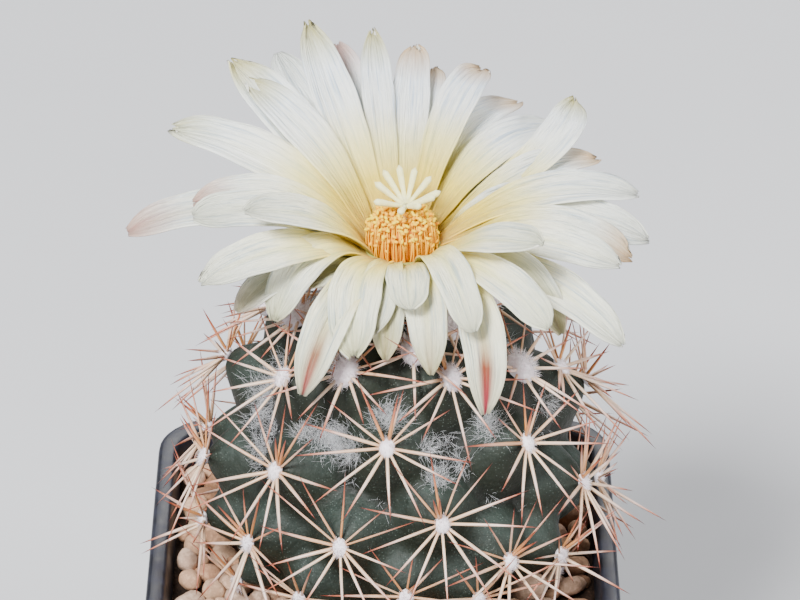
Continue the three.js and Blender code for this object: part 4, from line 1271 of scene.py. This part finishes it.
def make_stamens():
    """A tight ring of filaments leaning outward, each with its anther."""
    draw = random.Random(14)
    threads = bmesh.new()
    thread_layers = value_layers(threads, ["along", "tint"])
    tubes = Tubes(4, 6)
    heads = bmesh.new()
    head_layers = value_layers(heads, ["along"])
    middle = Vector((FLOWER_X, FLOWER_Y, 0))
    for i in range(STAMEN_COUNT):
        share = math.sqrt((i + 14) / (STAMEN_COUNT + 14))
        a = i * GOLDEN_ANGLE * DEG
        top = STAMEN_SPREAD * share
        z = STAMEN_TOP - 2.6 * share ** 4 + draw.uniform(-0.5, 0.5)
        if share > 0.8 and draw.random() < 0.45:
            z -= draw.uniform(0.4, 3.2)
        out = Vector((math.cos(a), math.sin(a), 0))
        root = middle + out * (2.4 + 1.9 * share) + UP * STAMEN_FOOT
        turn = a + draw.uniform(-0.14, 0.14)
        tip = middle + Vector((math.cos(turn), math.sin(turn), 0)) * top + UP * z
        points = []
        for k in range(6):
            s = k / 5
            p = root.lerp(tip, s) + out * 0.5 * math.sin(math.pi * s) * share
            points.append(p)
        tubes.add(points, [0, 0.13, 0.13, 0.12, 0.11, 0], tint=draw.random())
        made = bmesh.ops.create_icosphere(heads, subdivisions=1, radius=1)
        turn = Euler((draw.uniform(-0.9, 0.9), draw.uniform(-0.9, 0.9), draw.uniform(0, 6.3))).to_matrix()
        tone = draw.random()
        for vert in made["verts"]:
            vert.co = tip + turn @ Vector((vert.co.x * 0.48, vert.co.y * 0.27, vert.co.z * 0.25))
            vert[head_layers["along"]] = tone
    tubes.build(threads, thread_layers)
    close_up(threads)
    new_piece("filaments", threads, [stamen_material(
        "filament", rgb(236, 138, 0), rgb(255, 182, 8), rgb(255, 202, 26))], ["stamens"])
    new_piece("anthers", heads, [stamen_material(
        "anther", rgb(255, 182, 0), rgb(255, 206, 0), rgb(255, 228, 24))])
    core = revolve([(0, 109.3), (3.4, 109.4), (3.6, 113), (3.9, 117), (3.2, 118.4), (0, 118.6)],
                   FLOWER_X, FLOWER_Y, 32)
    core_layers = value_layers(core, ["along"])
    for vert in core.verts:
        vert[core_layers["along"]] = 0.1
    new_piece("stamen_bed", core, [stamen_material(
        "stamen_bed", rgb(190, 110, 30), rgb(226, 150, 50), rgb(226, 150, 50))])


def make_pistil():
    """The style and its star of blunt, velvety stigma lobes."""
    draw = random.Random(31)
    noise.seed_set(31)
    bm = bmesh.new()
    layers = value_layers(bm, ["along"])
    centre = Vector((FLOWER_X + STIGMA_ASIDE, FLOWER_Y, STIGMA_HEIGHT))
    foot = Vector((FLOWER_X, FLOWER_Y, STYLE_FOOT))
    style = Tubes(12, 6)
    style.add([foot.lerp(centre, k / 5) for k in range(6)], [0, 0.6, 0.6, 0.6, 0.75, 0])
    style.build(bm, layers)
    star = Tubes(10, 11)
    lobes = 10
    for i in range(lobes):
        a = (i + draw.uniform(-0.25, 0.25)) / lobes * 2 * math.pi
        rise = (36 + 20 * math.sin(a) + draw.uniform(-7, 7)) * DEG
        length = draw.uniform(5.2, 6.4)
        out = Vector((math.cos(a), math.sin(a), 0))
        way = out * math.cos(rise) + UP * math.sin(rise)
        bend = draw.uniform(-0.06, 0.1)
        points = []
        radii = []
        for k in range(11):
            s = k / 10
            points.append(centre + way * length * s + UP * bend * length * s * s)
            radii.append(0 if k in (0, 10) else 0.35 + 0.16 * smooth(0.3, 0.85, s) - 0.2 * smooth(0.88, 1, s))
        star.add(points, radii)
    star.build(bm, layers)
    close_up(bm)
    for vert in bm.verts:
        vert.co += Vector(noise.noise_vector(vert.co * 4)) * 0.05
    material, paint = new_material("stigma", {
        "Roughness": 0.75, "Subsurface Weight": 0.35, "Subsurface Scale": 0.001, "Sheen Weight": 0.2,
        "Subsurface Radius": (1.0, 0.95, 0.6),
    })
    velvet = mottle(paint, 1800.0, 8000.0)
    cream = paint.mix(paint.span(velvet, 0.3, 0.7), rgb(248, 238, 150), rgb(255, 252, 200))
    paint.finish(cream, velvet, 0.6, 0.0003)
    return new_piece("stigma", bm, [material], ["pistil"])


# Scene

def make_stage():
    """A pale floor that runs far back."""
    bm = bmesh.new()
    bmesh.ops.create_grid(bm, x_segments=1, y_segments=1, size=4)
    mesh = bpy.data.meshes.new("floor")
    bm.to_mesh(mesh)
    bm.free()
    material, paint = new_material("floor", {"Roughness": 0.9, "Specular IOR Level": 0.1})
    tone = paint.mix(mottle(paint, 2.0, 30.0), rgb(196, 197, 200), rgb(204, 204, 206))
    paint.put(paint.shader.inputs["Base Color"], tone)
    mesh.materials.append(material)
    floor = bpy.data.objects.new("floor", mesh)
    bpy.context.scene.collection.objects.link(floor)


def make_light(name, place, target, size, power, colour=(1, 1, 1)):
    lamp = bpy.data.lights.new(name, "AREA")
    lamp.size = size
    lamp.energy = power
    lamp.color = colour
    made = bpy.data.objects.new(name, lamp)
    made.location = place
    made.rotation_euler = (Vector(target) - Vector(place)).to_track_quat("-Z", "Y").to_euler()
    bpy.context.scene.collection.objects.link(made)


def make_lights():
    world = bpy.data.worlds.new("studio")
    world.use_nodes = True
    sky = world.node_tree.nodes["Background"]
    sky.inputs["Color"].default_value = (0.9, 0.93, 1.0, 1)
    sky.inputs["Strength"].default_value = 0.24
    bpy.context.scene.world = world
    make_light("key", (-0.35, -0.7, 0.95), (0, 0, 0.1), 0.28, 36, (0.98, 0.99, 1))
    make_light("side", (0.8, -0.4, 0.5), (0, 0, 0.1), 0.4, 8)
    make_light("back", (0.1, 0.8, 0.7), (0, 0, 0.12), 0.6, 8)


def make_camera():
    lens = bpy.data.cameras.new("camera")
    lens.sensor_width = SENSOR_WIDTH
    lens.lens = FOCAL / IMAGE_WIDTH * SENSOR_WIDTH
    camera = bpy.data.objects.new("camera", lens)
    camera.location = EYE * MM
    camera.rotation_euler = AHEAD.to_track_quat("-Z", "Y").to_euler()
    bpy.context.scene.collection.objects.link(camera)
    bpy.context.scene.camera = camera


make_camera()
make_stage()
make_lights()
make_pot()
make_gravel()
body = make_skin()
make_spines()
make_pads()
make_axil_wool(body)
make_petals()
make_tube()
make_stamens()
make_pistil()
